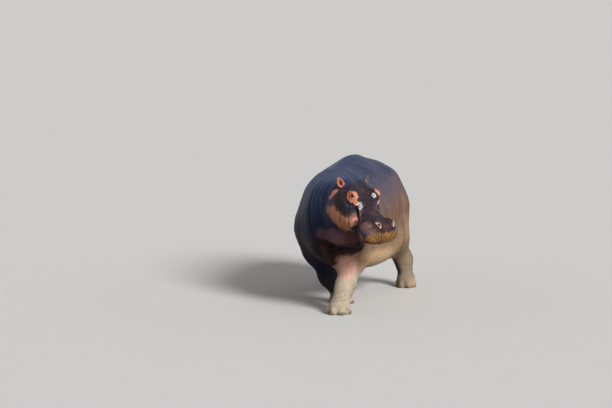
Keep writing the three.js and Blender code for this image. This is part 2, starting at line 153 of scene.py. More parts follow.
headMasses = [
    dict(at=(-135, 0, -108), radii=(215, 168, 108)),  # skull
    dict(at=(-235, 0, -188), radii=(165, 190, 160), blend=90),  # nape
    dict(at=(-180, 88, -58), radii=(108, 66, 68), blend=60, both=1),  # sides of the crown
    dict(at=(150, 0, -128), radii=(270, 122, 100), blend=90, power=2.4),  # bridge
    dict(at=(385, 0, -150), radii=(122, 198, 112), blend=70, power=2.7),  # muzzle
    dict(at=(362, 138, -172), radii=(118, 82, 95), blend=50, power=2.2, both=1),  # whisker pads
    dict(at=(390, 84, -36), radii=(60, 42, 42), blend=45, both=1),  # nostril mounds
    dict(at=(-22, 118, -40), radii=(105, 62, 62), blend=60, both=1),  # brow ridges
    dict(at=(-18, 145, -12), radii=(60, 40, 46), blend=45, both=1),  # eye turrets
    dict(at=(-55, 168, -215), radii=(165, 82, 150), blend=60, power=2.3, both=1),  # cheeks
    dict(at=(100, 160, -235), radii=(115, 66, 88), blend=50, both=1),  # corner of the lips
    dict(at=(225, 118, -205), radii=(140, 50, 66), blend=50, both=1),  # lips
    dict(at=(185, 0, -258), radii=(265, 145, 72), blend=50, power=2.5),  # lower jaw
    dict(at=(-98, 160, -322), radii=(130, 88, 118), blend=50, both=1),  # angle of the jaw
]
legs = {
    "fore_L": dict(heading=8, foot=(238, -1120), size=1.0, radii=(200, 138, 90, 92),
                   joints=((235, -660, 800), (285, -745, 540), (272, -985, 285), (245, -1085, 120))),
    "fore_R": dict(heading=2, foot=(68, -400), size=1.0, radii=(195, 112, 90, 92),
                   joints=((-165, -590, 800), (-170, -555, 575), (-70, -440, 285), (42, -385, 120))),
    "hind_L": dict(heading=6, foot=(436, 845), size=0.84, radii=(215, 150, 84, 82),
                   joints=((225, 830, 850), (320, 700, 560), (392, 890, 300), (425, 872, 120))),
    "hind_R": dict(heading=-8, foot=(-258, 628), size=0.84, radii=(215, 150, 84, 82),
                   joints=((-225, 800, 850), (-310, 570, 560), (-285, 700, 300), (-262, 655, 120))),
}
headJoin = {"middle": (60, 0, -170), "reach": 620, "blend": 95}  # the head into the neck
legBlends = (200, 90)  # the first bone's into the body, and the others'
footPad = {"radii": (108, 112, 80), "rise": 62, "power": 2.2, "blend": 60}
toes = {"reach": 96, "spread": (-78, -27, 27, 78), "radius": 40, "height": 50, "rise": 36, "blend": 18}
ear = {
    "at": (-250, 172, -22),
    "axis": {1: (-0.78, 0.66, 0.5), -1: (-0.75, 0.36, 0.6)},  # towards each side's tip
    "opening": (0.61, 0.6, 0.5),  # the way the cup faces
    "radii": (25, 36, 61),  # half its thickness, width and length
    "blend": 10,
}
tailPath = ((0, 1150, 1120), (0, 1235, 1030), (0, 1268, 900), (0, 1276, 770), (0, 1270, 690))
tailRadii = (58, 44, 33, 25, 12)
tailBlends = (40, 12)
soleBlend = 10  # rounds the soles' edge where the floor cuts them flat


# The lower of two fields, rounded where they are closer than the width.
def softMin(a, b, width):
    h = np.maximum(width - np.abs(a - b), 0) / width
    return np.minimum(a, b) - h * h * width / 4


# (k - 1) over the slope of k, where k^n = |x/a|^n + |y/b|^n + |z/c|^n; both mirrors an axis.
def massField(points, at, radii, turn=(0, 0, 0), power=2.0, both=None):
    if both is not None:
        points = points.copy()
        points[:, both] = np.abs(points[:, both])
    scaled = np.abs((points - at) @ spinOf(*turn)) / radii
    k = np.maximum((scaled**power).sum(1) ** (1 / power), 1e-6)
    slope = np.sqrt((((scaled / k[:, None]) ** (power - 1) / radii) ** 2).sum(1))
    return (k - 1) / np.maximum(slope, 1e-6)


# Distance to the nearest point of a segment, less a radius that tapers along it.
def boneField(points, start, end, startRadius, endRadius):
    along = np.subtract(end, start)
    t = np.clip((points - start) @ along / (along @ along), 0, 1)
    away = np.linalg.norm(points - start - t[:, None] * along, axis=1)
    return away - (startRadius + (endRadius - startRadius) * t)


# Soft union of the field with a shape that is worked out only near its middle, with some to spare.
def joined(field, points, middle, reach, blend, shape, spare=70):
    offset = points - middle
    near = np.einsum("ij,ij->i", offset, offset) < (reach + blend + spare) ** 2
    if near.any():
        field[near] = softMin(field[near], shape(points[near]), blend)
    return field


# The masses run together in their order, each over its own blend width.
def massesField(points, masses):
    first, *rest = masses
    field = massField(points, **first)
    for part in rest:
        form = {key: value for key, value in part.items() if key != "blend"}
        middle = np.array(part["at"], float)
        nearby = points
        if "both" in part:
            nearby = points.copy()
            nearby[:, part["both"]] = np.abs(nearby[:, part["both"]])
            del form["both"]
        joined(field, nearby, middle, max(part["radii"]), part["blend"],
               lambda p: massField(p, **form))
    return field


# A point on the foot's front arc: the foot's middle plus the reach, turned with the foot.
def toePlace(leg, angle, reach):
    turn = math.radians(leg["heading"] - 90 + angle)
    return np.add(leg["foot"], (reach * math.cos(turn), reach * math.sin(turn)))


# Soft union of the field with tapered bones along a path.
def bonesField(field, points, path, radii, blends):
    for i, (start, end) in enumerate(zip(path, path[1:])):
        start, end = np.array(start, float), np.array(end, float)
        reach = np.linalg.norm(end - start) / 2 + max(radii[i], radii[i + 1])
        joined(field, points, (start + end) / 2, reach, blends[min(i, len(blends) - 1)],
               lambda p: boneField(p, start, end, radii[i], radii[i + 1]))
    return field


# Axes of an ear in the head's frame: through its thickness, across it, and to its tip.
def earSpin(side):
    flip = np.array((1, side, 1))
    tip = unit(ear["axis"][side] * flip)
    across = unit(np.cross(tip, unit(ear["opening"] * flip)))
    return np.stack((np.cross(across, tip), across, tip), 1)


# Negative inside the animal, in body millimetres, and about the distance to its skin outside.
def fleshField(points):
    field = massesField(points, fleshMasses)
    middle = fromHead(np.array(headJoin["middle"]))
    joined(field, points, middle, headJoin["reach"], headJoin["blend"],
           lambda p: massesField(toHead(p), headMasses))
    for side in (1, -1):
        middle = fromHead(np.array(ear["at"]) * (1, side, 1))
        spin = headSpin @ earSpin(side)
        joined(field, points, middle, max(ear["radii"]), ear["blend"],
               lambda p: massField((p - middle) @ spin, (0, 0, 0), ear["radii"]))
    for leg in legs.values():
        bonesField(field, points, leg["joints"], leg["radii"], legBlends)
        pad = np.array(footPad["radii"]) * (leg["size"], leg["size"], 1)
        at = (*leg["foot"], footPad["rise"])
        joined(field, points, at, max(footPad["radii"]), footPad["blend"],
               lambda p: massField(p, at, pad, power=footPad["power"]))
        radius = toes["radius"] * leg["size"]
        for angle in toes["spread"]:
            at = (*toePlace(leg, angle, toes["reach"] * leg["size"]), toes["rise"])
            joined(field, points, at, toes["height"], toes["blend"],
                   lambda p: massField(p, at, (radius, radius, toes["height"])))
    bonesField(field, points, tailPath, tailRadii, tailBlends)
    return -softMin(-field, points[:, 2] - pose["floor"], soleBlend)


mesh = {
    "cell": 20.0,  # mm between the first mesh's points
    "margin": 54.0,  # of the grid round the CAD box
    "stride": 4,  # a first look at the field takes every fourth point
    "band": 1.7,  # strides from the surface within which the field is then worked out in full
    "settle": (0.4, 0.3),  # of a cell: the longest steps onto the skin, at first and when finer
}


# Forward differences of the field, a row for each point.
def slopeOf(field, points):
    step = 0.5
    here = field(points)
    ahead = [field(points + step * np.eye(3)[axis]) for axis in range(3)]
    return here, np.stack([(value - here) / step for value in ahead], 1)


# Newton steps p - f g / |g|^2 down the field's slope, none of them longer than the furthest, and
# with |g|^2 held over the flattest.
def ontoSkin(points, furthest, rounds=3, flattest=0.2):
    for _ in range(rounds):
        value, slope = slopeOf(fleshField, points)
        size = np.maximum((slope**2).sum(1), flattest)
        move = -slope * (value / size)[:, None]
        length = np.linalg.norm(move, axis=1)
        points = points + move * np.minimum(1, furthest / np.maximum(length, 1e-9))[:, None]
    return points


# Where the field is zero on a square grid: one point in each cell that the surface crosses, at the
# mean of the crossings on its edges, and a quad round each grid edge that it crosses.
def surfaceNet(low, high, cell, stride):
    count = np.ceil((high - low) / cell / stride).astype(int) * stride
    axes = [low[i] + cell * np.arange(count[i]) for i in range(3)]
    coarse = np.stack(np.meshgrid(*[axis[::stride] for axis in axes], indexing="ij"), -1)
    rough = fleshField(coarse.reshape(-1, 3)).reshape(coarse.shape[:3])
    for axis in range(3):
        rough = np.repeat(rough, stride, axis)
    half = stride // 2  # each coarse value stands for the points round it
    grid = np.pad(rough, [(0, half)] * 3, mode="edge")[half:, half:, half:]
    band = np.argwhere(np.abs(grid) < cell * stride * mesh["band"])
    grid[tuple(band.T)] = fleshField(low + band * cell)

    inside = grid < 0
    corners = np.array([(c & 1, (c >> 1) & 1, c >> 2) for c in range(8)])
    parts = [inside[tuple(slice(o, n - 1 + o) for o, n in zip(c, count))] for c in corners]
    filled = sum(part.astype(np.int8) for part in parts)
    cells = np.argwhere((filled > 0) & (filled < 8))
    values = np.stack([grid[tuple((cells + c).T)] for c in corners], 1)
    total, hits = np.zeros((len(cells), 3)), np.zeros(len(cells))
    for p in range(8):
        for q in (p | 1, p | 2, p | 4):
            if q == p:
                continue
            crossed = (values[:, p] < 0) != (values[:, q] < 0)
            t = values[crossed, p] / (values[crossed, p] - values[crossed, q])
            total[crossed] += corners[p] + t[:, None] * (corners[q] - corners[p])
            hits[crossed] += 1
    points = low + (cells + total / hits[:, None]) * cell
    number = np.full(count, -1)
    number[tuple(cells.T)] = np.arange(len(cells))

    quads = []
    steps = np.eye(3, dtype=int)
    for axis in range(3):
        first, second, third = np.roll(steps, -axis, 0)
        here = inside[tuple(slice(0, n - s) for n, s in zip(count, first))]
        there = inside[tuple(slice(s, n) for n, s in zip(count, first))]
        edges = np.argwhere(here != there)
        ring = [edges, edges - second, edges - second - third, edges - third]
        quad = np.stack([number[tuple(corner.T)] for corner in ring], 1)
        outward = here[tuple(edges.T)]
        quads.append(np.where(outward[:, None], quad, quad[:, ::-1]))
    return points, np.concatenate(quads)


# Two triangles for each quad, along its shorter diagonal.
def splitQuads(points, quads):
    a, b, c, d = quads.T
    one, other = np.linalg.norm([points[a] - points[c], points[b] - points[d]], axis=2)
    short = (one <= other)[:, None]
    first = np.where(short, np.stack((a, b, c), 1), np.stack((a, b, d), 1))
    second = np.where(short, np.stack((a, c, d), 1), np.stack((b, c, d), 1))
    return np.concatenate((first, second))


# Every side of a marked triangle gets a point at its middle. A triangle with all sides cut becomes
# four and one with a single cut side two; a second cut side always brings the third.
def refined(points, triangles, marked):
    total = len(points)
    sides = np.sort(np.stack((triangles, np.roll(triangles, -1, 1)), 2), 2)
    code = sides[..., 0] * total + sides[..., 1]
    cut = np.unique(code[marked])
    while True:
        isCut = np.isin(code, cut)
        pairs = isCut.sum(1) == 2
        if not pairs.any():
            break
        cut = np.union1d(cut, code[pairs].ravel())
    middles = (points[cut // total] + points[cut % total]) / 2
    new = total + np.searchsorted(cut, code).clip(0, len(cut) - 1)
    a, b, c = triangles.T
    ab, bc, ca = new.T
    many = isCut.all(1)
    quartered = [np.stack(t, 1)[many] for t in ((a, ab, ca), (ab, b, bc), (ca, bc, c), (ab, bc, ca))]
    halved = []
    for i in range(3):
        one = isCut[:, i] & (isCut.sum(1) == 1)
        p, q, r = [triangles[one, (i + j) % 3] for j in range(3)]
        m = new[one, i]
        halved += [np.stack((p, m, r), 1), np.stack((m, q, r), 1)]
    whole = triangles[~isCut.any(1)]
    return np.concatenate((points, middles)), np.concatenate((whole, *quartered, *halved))


# Every row over its own length.
def unitRows(rows):
    return rows / np.maximum(np.linalg.norm(rows, axis=1), 1e-12)[:, None]


# The sum of the triangles' normals round each point, over its length.
def vertexNormals(points, triangles):
    a, b, c = [points[triangles[:, i]] for i in range(3)]
    faces = np.repeat(np.cross(b - a, c - a), 3, 0)
    corners = triangles.ravel()
    return unitRows(np.stack([np.bincount(corners, axis, len(points)) for axis in faces.T], 1))


# Distance of each point to a polyline, over all of its segments.
def pathDistance(points, path):
    best = np.full(len(points), 1e9)
    for start, end in zip(path, path[1:]):
        along = end - start
        t = np.clip((points - start) @ along / (along @ along), 0, 1)
        best = np.minimum(best, np.linalg.norm(points - start - t[:, None] * along, axis=1))
    return best


# A path of straight steps, cut into short lengths and dropped onto the skin. With a side, it is
# given in the head's frame and lies on that side.
def pathOnSkin(path, side=0, spacing=15):
    path = np.array(path, float)
    if side:
        path = fromHead(path * (1, side, 1))
    steps = np.linalg.norm(np.diff(path, axis=0), axis=1)
    length = np.concatenate(([0], np.cumsum(steps)))
    at = np.linspace(0, length[-1], int(length[-1] / spacing) + 2)
    path = np.stack([np.interp(at, length, path[:, i]) for i in range(3)], 1)
    return ontoSkin(path, 40, rounds=6)


margin = np.full(3, mesh["margin"])
netLow = np.array(cadLow) * 1000 + bodyShift - margin
netHigh = np.array(cadHigh) * 1000 + bodyShift + margin
skinPoints, skinQuads = surfaceNet(netLow, netHigh, mesh["cell"], mesh["stride"])
skinPoints = ontoSkin(skinPoints, mesh["cell"] * mesh["settle"][0])
skinTriangles = splitQuads(skinPoints, skinQuads)
print("skin net", len(skinPoints), "points")

sides = (1, -1)
mouthCrease = [(72, 142, -66), (104, 132, -110), (150, 138, -140), (205, 160, -165), (238, 178, -200),
               (262, 178, -240), (290, 165, -275), (350, 150, -300)]
nostril = {
    "at": (428, 97, -8),
    "along": (58, -28, -16),  # the slit's long way, forwards and inwards
    "outward": (0.72, 0.14, 0.68),
    "length": 26,  # half of it
    "width": 11,
    "depth": 27,
    "rim": 5,
    "bend": 0.012,  # per mm
}
# Where the skin's triangles are made finer.
headMiddle = fromHead(np.array((60, 0, -190)))
places = {
    "head": [headMiddle],
    "foot": [np.array((*leg["foot"], 40)) for leg in legs.values()],
    "tail": list(np.array(tailPath, float)),
    "eye": [fromHead(np.array(pose["eyeAt"]) * (1, side, 1)) for side in sides],
    "ear": [fromHead(np.array(ear["at"]) * (1, side, 1)) for side in sides],
    "nostril": [fromHead(np.array(nostril["at"]) * (1, side, 1)) for side in sides],
    "toe": [np.array((*toePlace(leg, angle, 128 * leg["size"]), 28))
            for leg in legs.values() for angle in toes["spread"]],
    "crease": [point for side in sides for point in pathOnSkin(mouthCrease, side)[::2]],
}
finer = (  # every level cuts the triangles within so many mm of these places
    {"head": 422, "foot": 147, "tail": 90},
    {"eye": 120, "ear": 95, "nostril": 85, "toe": 52, "crease": 44},
    {"eye": 66, "ear": 84, "nostril": 45},
    {"eye": 36},
)
for level in finer:
    middles = skinPoints[skinTriangles].mean(1)
    marked = np.zeros(len(middles), bool)
    for place, radius in level.items():
        for at in places[place]:
            marked |= ((middles - at) ** 2).sum(1) < radius**2
    old = len(skinPoints)
    skinPoints, skinTriangles = refined(skinPoints, skinTriangles, marked)
    skinPoints[old:] = ontoSkin(skinPoints[old:], mesh["cell"] * mesh["settle"][1])
print("finer skin", len(skinPoints), "points", len(skinTriangles), "triangles")


# The mean of sines along random directions, about -1 to 1, with waves of about the given length.
def waves(points, length, seed, count=10, height=1.6):
    draw = np.random.default_rng(seed)
    directions = draw.normal(size=(count, 3))
    lengths = length * draw.uniform(0.7, 1.5, (count, 1))
    directions /= np.linalg.norm(directions, axis=1)[:, None] * lengths
    starts = draw.uniform(0, 6.28, count)
    return np.sin(2 * math.pi * (points @ directions.T) + starts).mean(1) * height


# Folds that ring the neck: grooves along planes that face the head. (offset, depth, width) in mm.
neckFolds = {
    "facing": (0.49, -0.78, 0.40),
    "rings": ((1010, 7, 30), (1085, 6, 24), (1158, 13, 20), (1240, 6, 20), (1310, 8, 20),
              (1380, 15, 19), (1450, 7, 16), (1535, 16, 17)),
    "middle": (120, -1000, 1080),
    "reach": (560, 250),  # from the middle: where they have run out, and where they begin to
}
# One deep fold across the throat, and a roll of skin that hangs above it.
throatFold = {
    "facing": (0.2, -0.3, 0.93),
    "offset": 1055,
    "depth": 34,
    "width": 42,
    "roll": (15, 95, 60),  # its height, its offset from the fold and its width
    "middle": (270, -1130, 740),
    "reach": (300, 170),
}
# Grooves along paths: the head's in its own frame and on both sides, the body's on its own side.
headGrooves = (
    dict(path=mouthCrease, depth=22, width=11, roll=6),
    dict(path=((350, 150, -300), (440, 110, -280), (500, 60, -262), (515, 0, -258)),
         depth=12, width=10, roll=3),
    dict(path=((20, 215, -90), (80, 205, -170), (140, 190, -240), (180, 170, -320)),
         depth=5, width=13, roll=2),
    dict(path=((-60, 230, -120), (-10, 240, -220), (40, 225, -320), (80, 180, -390)),
         depth=4, width=15, roll=2),
    dict(path=((110, 70, -30), (180, 85, -55), (260, 95, -70), (330, 90, -60)),
         depth=5, width=16, roll=0),
    dict(path=((-110, 120, 10), (-90, 90, 14), (-30, 78, 10), (30, 82, -8), (70, 95, -40)),
         depth=6, width=15, roll=2),
    dict(path=((60, 190, -60), (20, 205, -90), (-50, 200, -90), (-110, 175, -60)),
         depth=5, width=12, roll=3),
    dict(path=((345, 60, -12), (360, 45, -35), (400, 38, -40), (450, 40, -60)),
         depth=4, width=14, roll=1),
)
bodyGrooves = (
    dict(path=((40, -120, 1470), (86, -25, 1437), (188, 85, 1382), (273, 180, 1329), (330, 290, 1250)),
         depth=5, width=26, roll=4),
    dict(path=((-90, -400, 1440), (-190, -440, 1330), (-270, -500, 1150), (-340, -520, 950)),
         depth=6, width=34, roll=4),
    dict(path=((180, -480, 1380), (290, -520, 1240), (350, -590, 1060), (370, -640, 880)),
         depth=5, width=34, roll=4),
    dict(path=((405, 560, 700), (390, 590, 600), (330, 640, 480)), depth=12, width=30, roll=7),
    dict(path=((-410, 440, 700), (-400, 470, 590), (-330, 520, 470)), depth=12, width=30, roll=7),
    dict(path=((350, 400, 420), (250, 460, 350), (130, 500, 320)), depth=7, width=26, roll=4),
    dict(path=((330, -600, 650), (250, -640, 560), (180, -700, 520)), depth=8, width=24, roll=4),
    dict(path=((-330, -640, 700), (-300, -620, 580), (-240, -600, 500)), depth=8, width=24, roll=4),
    dict(path=((190, 1010, 1250), (250, 1020, 1050), (260, 1010, 850)), depth=5, width=30, roll=3),
    dict(path=((-190, 1010, 1250), (-250, 1010, 1050), (-260, 1000, 850)), depth=5, width=30, roll=3),
)
wrists = {"heights": (152, 171, 196, 236), "depth": 2.4, "width": 7}


# roll * bell(distance - 2.2 widths) - depth * bell(distance): a groove and the skin rolled up by it.
def grooveShape(distance, depth, width, roll):
    return roll * bell(distance - 2.2 * width, width) - depth * bell(distance, width)


normals = vertexNormals(skinPoints, skinTriangles)
inHead = toHead(skinPoints)
onHead = smoothStep(500, 420, np.linalg.norm(skinPoints - headMiddle, axis=1))
lift = 2.2 * waves(skinPoints, 260, 1) * (1 - 0.7 * onHead)  # mm outwards
# The crease mark: how much shade is painted into each groove and fold.
crease = np.zeros(len(skinPoints))

ringAt = skinPoints @ unit(neckFolds["facing"]) + 12 * waves(skinPoints, 330, 2)
nearNeck = np.linalg.norm(skinPoints - neckFolds["middle"], axis=1)
nearNeck = smoothStep(*neckFolds["reach"], nearNeck)
nearNeck *= 1 - smoothStep(0.1, 0.7, onHead * smoothStep(-330, -215, inHead[:, 0]))
strength = nearNeck * (0.75 + 0.4 * waves(skinPoints, 300, 3))
for offset, depth, width in neckFolds["rings"]:
    lift += strength * grooveShape(ringAt - offset, depth, width, depth * 0.45)
    crease = np.maximum(crease, strength * bell(ringAt - offset, width * 0.8) * depth / 15)

throatAt = skinPoints @ unit(throatFold["facing"]) - throatFold["offset"]
throatAt += 10 * waves(skinPoints, 260, 4)
nearThroat = np.linalg.norm(skinPoints - throatFold["middle"], axis=1)
nearThroat = smoothStep(*throatFold["reach"], nearThroat)
rollHeight, rollOffset, rollWidth = throatFold["roll"]
lift += nearThroat * rollHeight * bell(throatAt - rollOffset, rollWidth)
lift -= nearThroat * throatFold["depth"] * bell(throatAt, throatFold["width"])
crease = np.maximum(crease, 0.9 * nearThroat * bell(throatAt, throatFold["width"]))

for groove in headGrooves:
    form = {key: groove[key] for key in ("depth", "width", "roll")}
    for side in sides:
        near = (onHead > 0) & (inHead[:, 1] * side > -30)
        distance = pathDistance(skinPoints[near], pathOnSkin(groove["path"], side))
        lift[near] += grooveShape(distance, **form)
        crease[near] = np.maximum(crease[near], bell(distance, groove["width"]) * groove["depth"] / 18)
for groove in bodyGrooves:
    form = {key: groove[key] for key in ("depth", "width", "roll")}
    distance = pathDistance(skinPoints, pathOnSkin(groove["path"], spacing=40))
    lift += grooveShape(distance, **form)
    crease = np.maximum(crease, bell(distance, groove["width"]) * groove["depth"] / 22)
for height in wrists["heights"]:
    ring = skinPoints[:, 2] - height + 14 * waves(skinPoints, 150, 5)
    ring = bell(ring, wrists["width"]) * np.clip(0.4 + waves(skinPoints, 120, height), 0, 1)
    lift -= wrists["depth"] * ring
    crease = np.maximum(crease, 0.3 * ring)

standing = smoothStep(0, 25, skinPoints[:, 2])  # the soles stay flat
skinPoints = skinPoints + normals * (lift * standing)[:, None]
print("folds")

# Lids: round the eyeball the skin takes a set distance from the ball's middle, by how far it is from
# the almond-shaped opening (1 at its edge), and sinks out of sight inside the opening.
lids = {
    "gaze": (0.02, 0.87, 0.44),
    "opening": (20.5, 12.5),  # half its length and height
    "sunk": 18.0,  # the skin's distance from the eye's middle inside the opening
    "rise": ((1.0, 1.0), (1.12, 4.0), (1.38, 9.5), (1.62, 8.0), (1.82, 3.5), (2.1, 9.0), (2.4, 11.5),
             (2.65, 7.0), (3.0, 11.0), (3.3, 12.0)),  # over the ball, by the number of openings out
    "lower": 0.62,  # the lower lid's share of it
    "ends": (2.5, 3.7),  # where the lids begin to run out and have run out, in openings
    "bright": (86, 62, 63),  # the bright skin's reach behind the eye, before it and up and down
    "brow": {1: (-45, -25), -1: (-100, -70)},  # how far it reaches over each brow
}
nearEye, lidLine, lidShade, lidDeep, lidPale = np.zeros((5, len(skinPoints)))  # colour marks
for side, eye in zip(sides, places["eye"]):
    outward = headSpin @ unit(lids["gaze"] * np.array((1, side, 1)))
    up = unit(headSpin[:, 2] - outward * (headSpin[:, 2] @ outward))
    aft = np.cross(outward, up) * -side
    offset = skinPoints - eye
    reach = np.linalg.norm(offset, axis=1)
    a, h, v = offset @ outward, offset @ aft, offset @ up  # outwards, backwards and upwards
    v = v - 0.02 * side * h
    halfLength, halfHeight = lids["opening"]
    opening = np.hypot(h / halfLength, v / (halfHeight * (1 - 0.12 * np.abs(h) / 16)))
    opening = np.where(a > -8, opening, 9)
    upper = smoothStep(-10, 10, v + 0.25 * h)
    rise = np.interp(opening, *zip(*lids["rise"])) * (lids["lower"] + (1 - lids["lower"]) * upper)
    edge = pose["eyeRadius"] + rise
    target = lids["sunk"] + (edge - lids["sunk"]) * smoothStep(0.93, 1.0, opening)
    weight = (1 - smoothStep(*lids["ends"], opening)) * smoothStep(-14, 0, a)
    grown = reach + (np.maximum(target, reach * smoothStep(1.5, 2.6, opening)) - reach) * weight
    skinPoints = eye + offset * (grown / reach)[:, None]
    lidLine = np.maximum(lidLine, bell(opening - 1.04, 0.17) * (a > 0))
    lidDeep = np.maximum(lidDeep, smoothStep(-5, 45, h - 0.5 * v) * (a > -60))
    lidFolds = bell(opening - 1.82, 0.14) + 0.8 * bell(opening - 2.65, 0.12)
    crease = np.maximum(crease, 0.7 * lidFolds * weight)
    below = smoothStep(4, -12, v + 0.35 * h)
    lidShade = np.maximum(lidShade, bell(opening - 1.85, 0.24) * below * weight)
    lidPale = np.maximum(lidPale, bell(opening - 1.36, 0.2) * below * smoothStep(12, -4, h) * weight)
    behind, before, upAndDown = lids["bright"]
    bright = np.hypot(h / np.where(h > 0, behind, before), (v + 8) / upAndDown)
    bright += 0.13 * waves(skinPoints, 42, 6)
    nearEye = np.maximum(nearEye, smoothStep(1.12, 0.72, bright) * smoothStep(*lids["brow"][side], a))
print("lids")

# Nostrils: slits sunk along their own axis, with a raised rim. They bend with the muzzle.
nearNostril, inNostril = np.zeros(len(skinPoints)), np.zeros(len(skinPoints))
for side in sides:
    flip = np.array((1, side, 1))
    outward = headSpin @ unit(nostril["outward"] * flip)
    middle = ontoSkin(fromHead(np.array(nostril["at"]) * flip)[None], 30, rounds=6)[0]
    along = headSpin @ unit(nostril["along"] * flip)
    along = unit(along - outward * (along @ outward))
    across = np.cross(outward, along)
    offset = skinPoints - middle
    u, w, a = offset @ along, offset @ across, offset @ outward
    w = w - nostril["bend"] * side * u * u / 2
    q = np.where(a > -45, np.hypot(u / nostril["length"], w / nostril["width"]), 9)
    lift = nostril["rim"] * bell(q - 1.35, 0.42) - nostril["depth"] * (1 - smoothStep(0.35, 1.05, q))
    skinPoints = skinPoints + outward * lift[:, None]
    nearNostril = np.maximum(nearNostril, bell(q - 1.15, 0.38))
    inNostril = np.maximum(inNostril, 1 - smoothStep(0.5, 0.95, q))

# Ears: the front is hollowed to x = middle - depth sqrt(1 - q), where q is 0 in the middle of the
# bowl's outline and 1 at its edge. The tip narrows and leans.
bowl = {
    "at": (17, 0, 4),
    "radii": (19.5, 28.5, 52),
    "deep": (13, 34),  # half the width and height of the dark slot in it
    "narrow": 0.42,  # the share of its width that the ear loses towards its tip
    "lean": {1: -8, -1: 4},  # how far each tip leans back
    "bright": {1: 0.35, -1: 1},  # how bright each side's cup is painted: the left one, turned away from the light, in painted shade
}
inEar, deepEar, onEar, earLit = np.zeros((4, len(skinPoints)))  # colour marks
onRim = {}
for side, at in zip(sides, places["ear"]):
    spin = headSpin @ earSpin(side)
    local = (skinPoints - at) @ spin
    x, y, rise = local.T
    isEar = (((local / ear["radii"]) ** 2).sum(1) < 1.12**2) & (rise > -52)
    q = (y / bowl["radii"][1]) ** 2 + ((rise - bowl["at"][2]) / bowl["radii"][2]) ** 2
    floor = bowl["at"][0] - bowl["radii"][0] * np.sqrt(np.clip(1 - q, 0, 1))
    hollow = isEar & (x > 0) & (q < 1)
    inEar = np.maximum(inEar, hollow * bowl["bright"][side] * (1 - smoothStep(0.75, 1.0, q)))
    slot = (y / bowl["deep"][0]) ** 2 + ((rise + 4) / bowl["deep"][1]) ** 2
    deepEar = np.maximum(deepEar, hollow * (1 - smoothStep(0.4, 1.0, slot)))
    onEar = np.maximum(onEar, isEar * smoothStep(-55, -35, rise))
    # Painted light: the ear's skin colour shows where it faces the light, at the front and towards the
    # tip.
    lit = np.maximum(smoothStep(-14, 8, x), smoothStep(5, 35, rise))
    if side == 1:  # this ear is turned away from the light
        lit *= 0.08 + 0.4 * bell(rise + 4, 11)
    earLit = np.where(isEar, lit, earLit)
    onRim[side] = isEar * bell(q - 1, 0.22) * (x > -4) * smoothStep(-45, -25, rise)
    x = np.where(hollow, np.minimum(x, floor), x)
    y = y * (1 - isEar * bowl["narrow"] * smoothStep(5, 61, rise))
    x = x - isEar * bowl["lean"][side] * smoothStep(-20, 61, rise)
    skinPoints = at + np.stack((x, y, rise), 1) @ spin.T
skinPoints[:, 2] = np.maximum(skinPoints[:, 2], pose["floor"])
print("nostrils and ears")

# Patches of colour: rounded regions in the head's frame, on both sides unless oneSide is set, or in
# the body's. Each is full inside, gone outside, and its edge is as soft as it says.
headPatches = {
    "face": (
        dict(at=(135, 0, -60), radii=(378, 300, 200), soft=0.16),
        dict(at=(-60, 150, -120), radii=(190, 130, 90), soft=0.3),
        dict(at=(250, 100, -150), radii=(260, 120, 150), soft=0.25),
    ),
    # The cheeks' tan: partly their own colour, partly painted sunlight on the lower cheek.
    "tanSunlit": (
        dict(at=(-45, 200, -280), radii=(150, 130, 100), turn=(0, 0, 10), soft=0.4),
        dict(at=(60, 180, -300), radii=(125, 125, 100), soft=0.3),
        dict(at=(120, 160, -215), radii=(105, 90, 75), turn=(0, 0, 25), soft=0.4),
        dict(at=(-165, 190, -325), radii=(50, 90, 55), soft=0.45, strength=0.9),
    ),
    "cheekDark": (
        dict(at=(-85, 195, -162), radii=(150, 125, 68), soft=0.5),
        dict(at=(60, 190, -160), radii=(70, 95, 45), soft=0.6, strength=0.8),
        dict(at=(-195, 190, -245), radii=(60, 90, 52), soft=0.6),
        dict(at=(0, -48, 0), radii=(80, 36, 50), soft=0.5, oneSide=True),
    ),
    "lip": (
        dict(at=(505, 60, -178), radii=(122, 190, 104), soft=0.3),
        dict(at=(400, 175, -225), radii=(120, 90, 60), soft=0.5, strength=0.5),
    ),
    # Painted shade below the muzzle, at the lips' corners and on the jaw.
    "under": (
        dict(at=(430, 0, -315), radii=(260, 230, 62), soft=0.3),
        dict(at=(250, 178, -248), radii=(56, 75, 98), turn=(0, 0, 25), soft=0.4),
        dict(at=(222, 150, -345), radii=(62, 90, 95), soft=0.45),
    ),
    "pink": (
        dict(at=(-250, 192, -186), radii=(32, 60, 92), turn=(0, 0, 17), soft=0.5),
        dict(at=(160, 160, -180), radii=(24, 50, 52), turn=(0, 0, 20), soft=0.8, strength=0.8),
        dict(at=(110, 135, -30), radii=(90, 22, 26), turn=(0, 0, -8), soft=0.6, oneSide=True),
    ),
    "eyelid": (
        dict(at=(50, 155, -28), radii=(38, 44, 26), turn=(0, 0, 30), soft=0.5),
    ),
    "mauve": (
        dict(at=(362, 196, -92), radii=(85, 60, 62), soft=0.8, strength=0.75),
        dict(at=(135, 140, -120), radii=(36, 40, 70), soft=0.6),
        dict(at=(440, 150, -110), radii=(50, 70, 40), soft=0.8, strength=0.7),
    ),
    # Painted sky reflection: a thin blue line along the far edge of the bridge.
    "ridgeSkySheen": (
        dict(at=(150, 94, -34), radii=(190, 20, 24), turn=(0, 12, -4), soft=0.7, oneSide=True),
    ),
    "glint": (
        dict(at=(88, -128, -45), radii=(40, 34, 40), turn=(0, 0, 30), soft=0.7, oneSide=True),
        dict(at=(20, 92, 16), radii=(30, 19, 26), soft=0.6, oneSide=True),
    ),
}
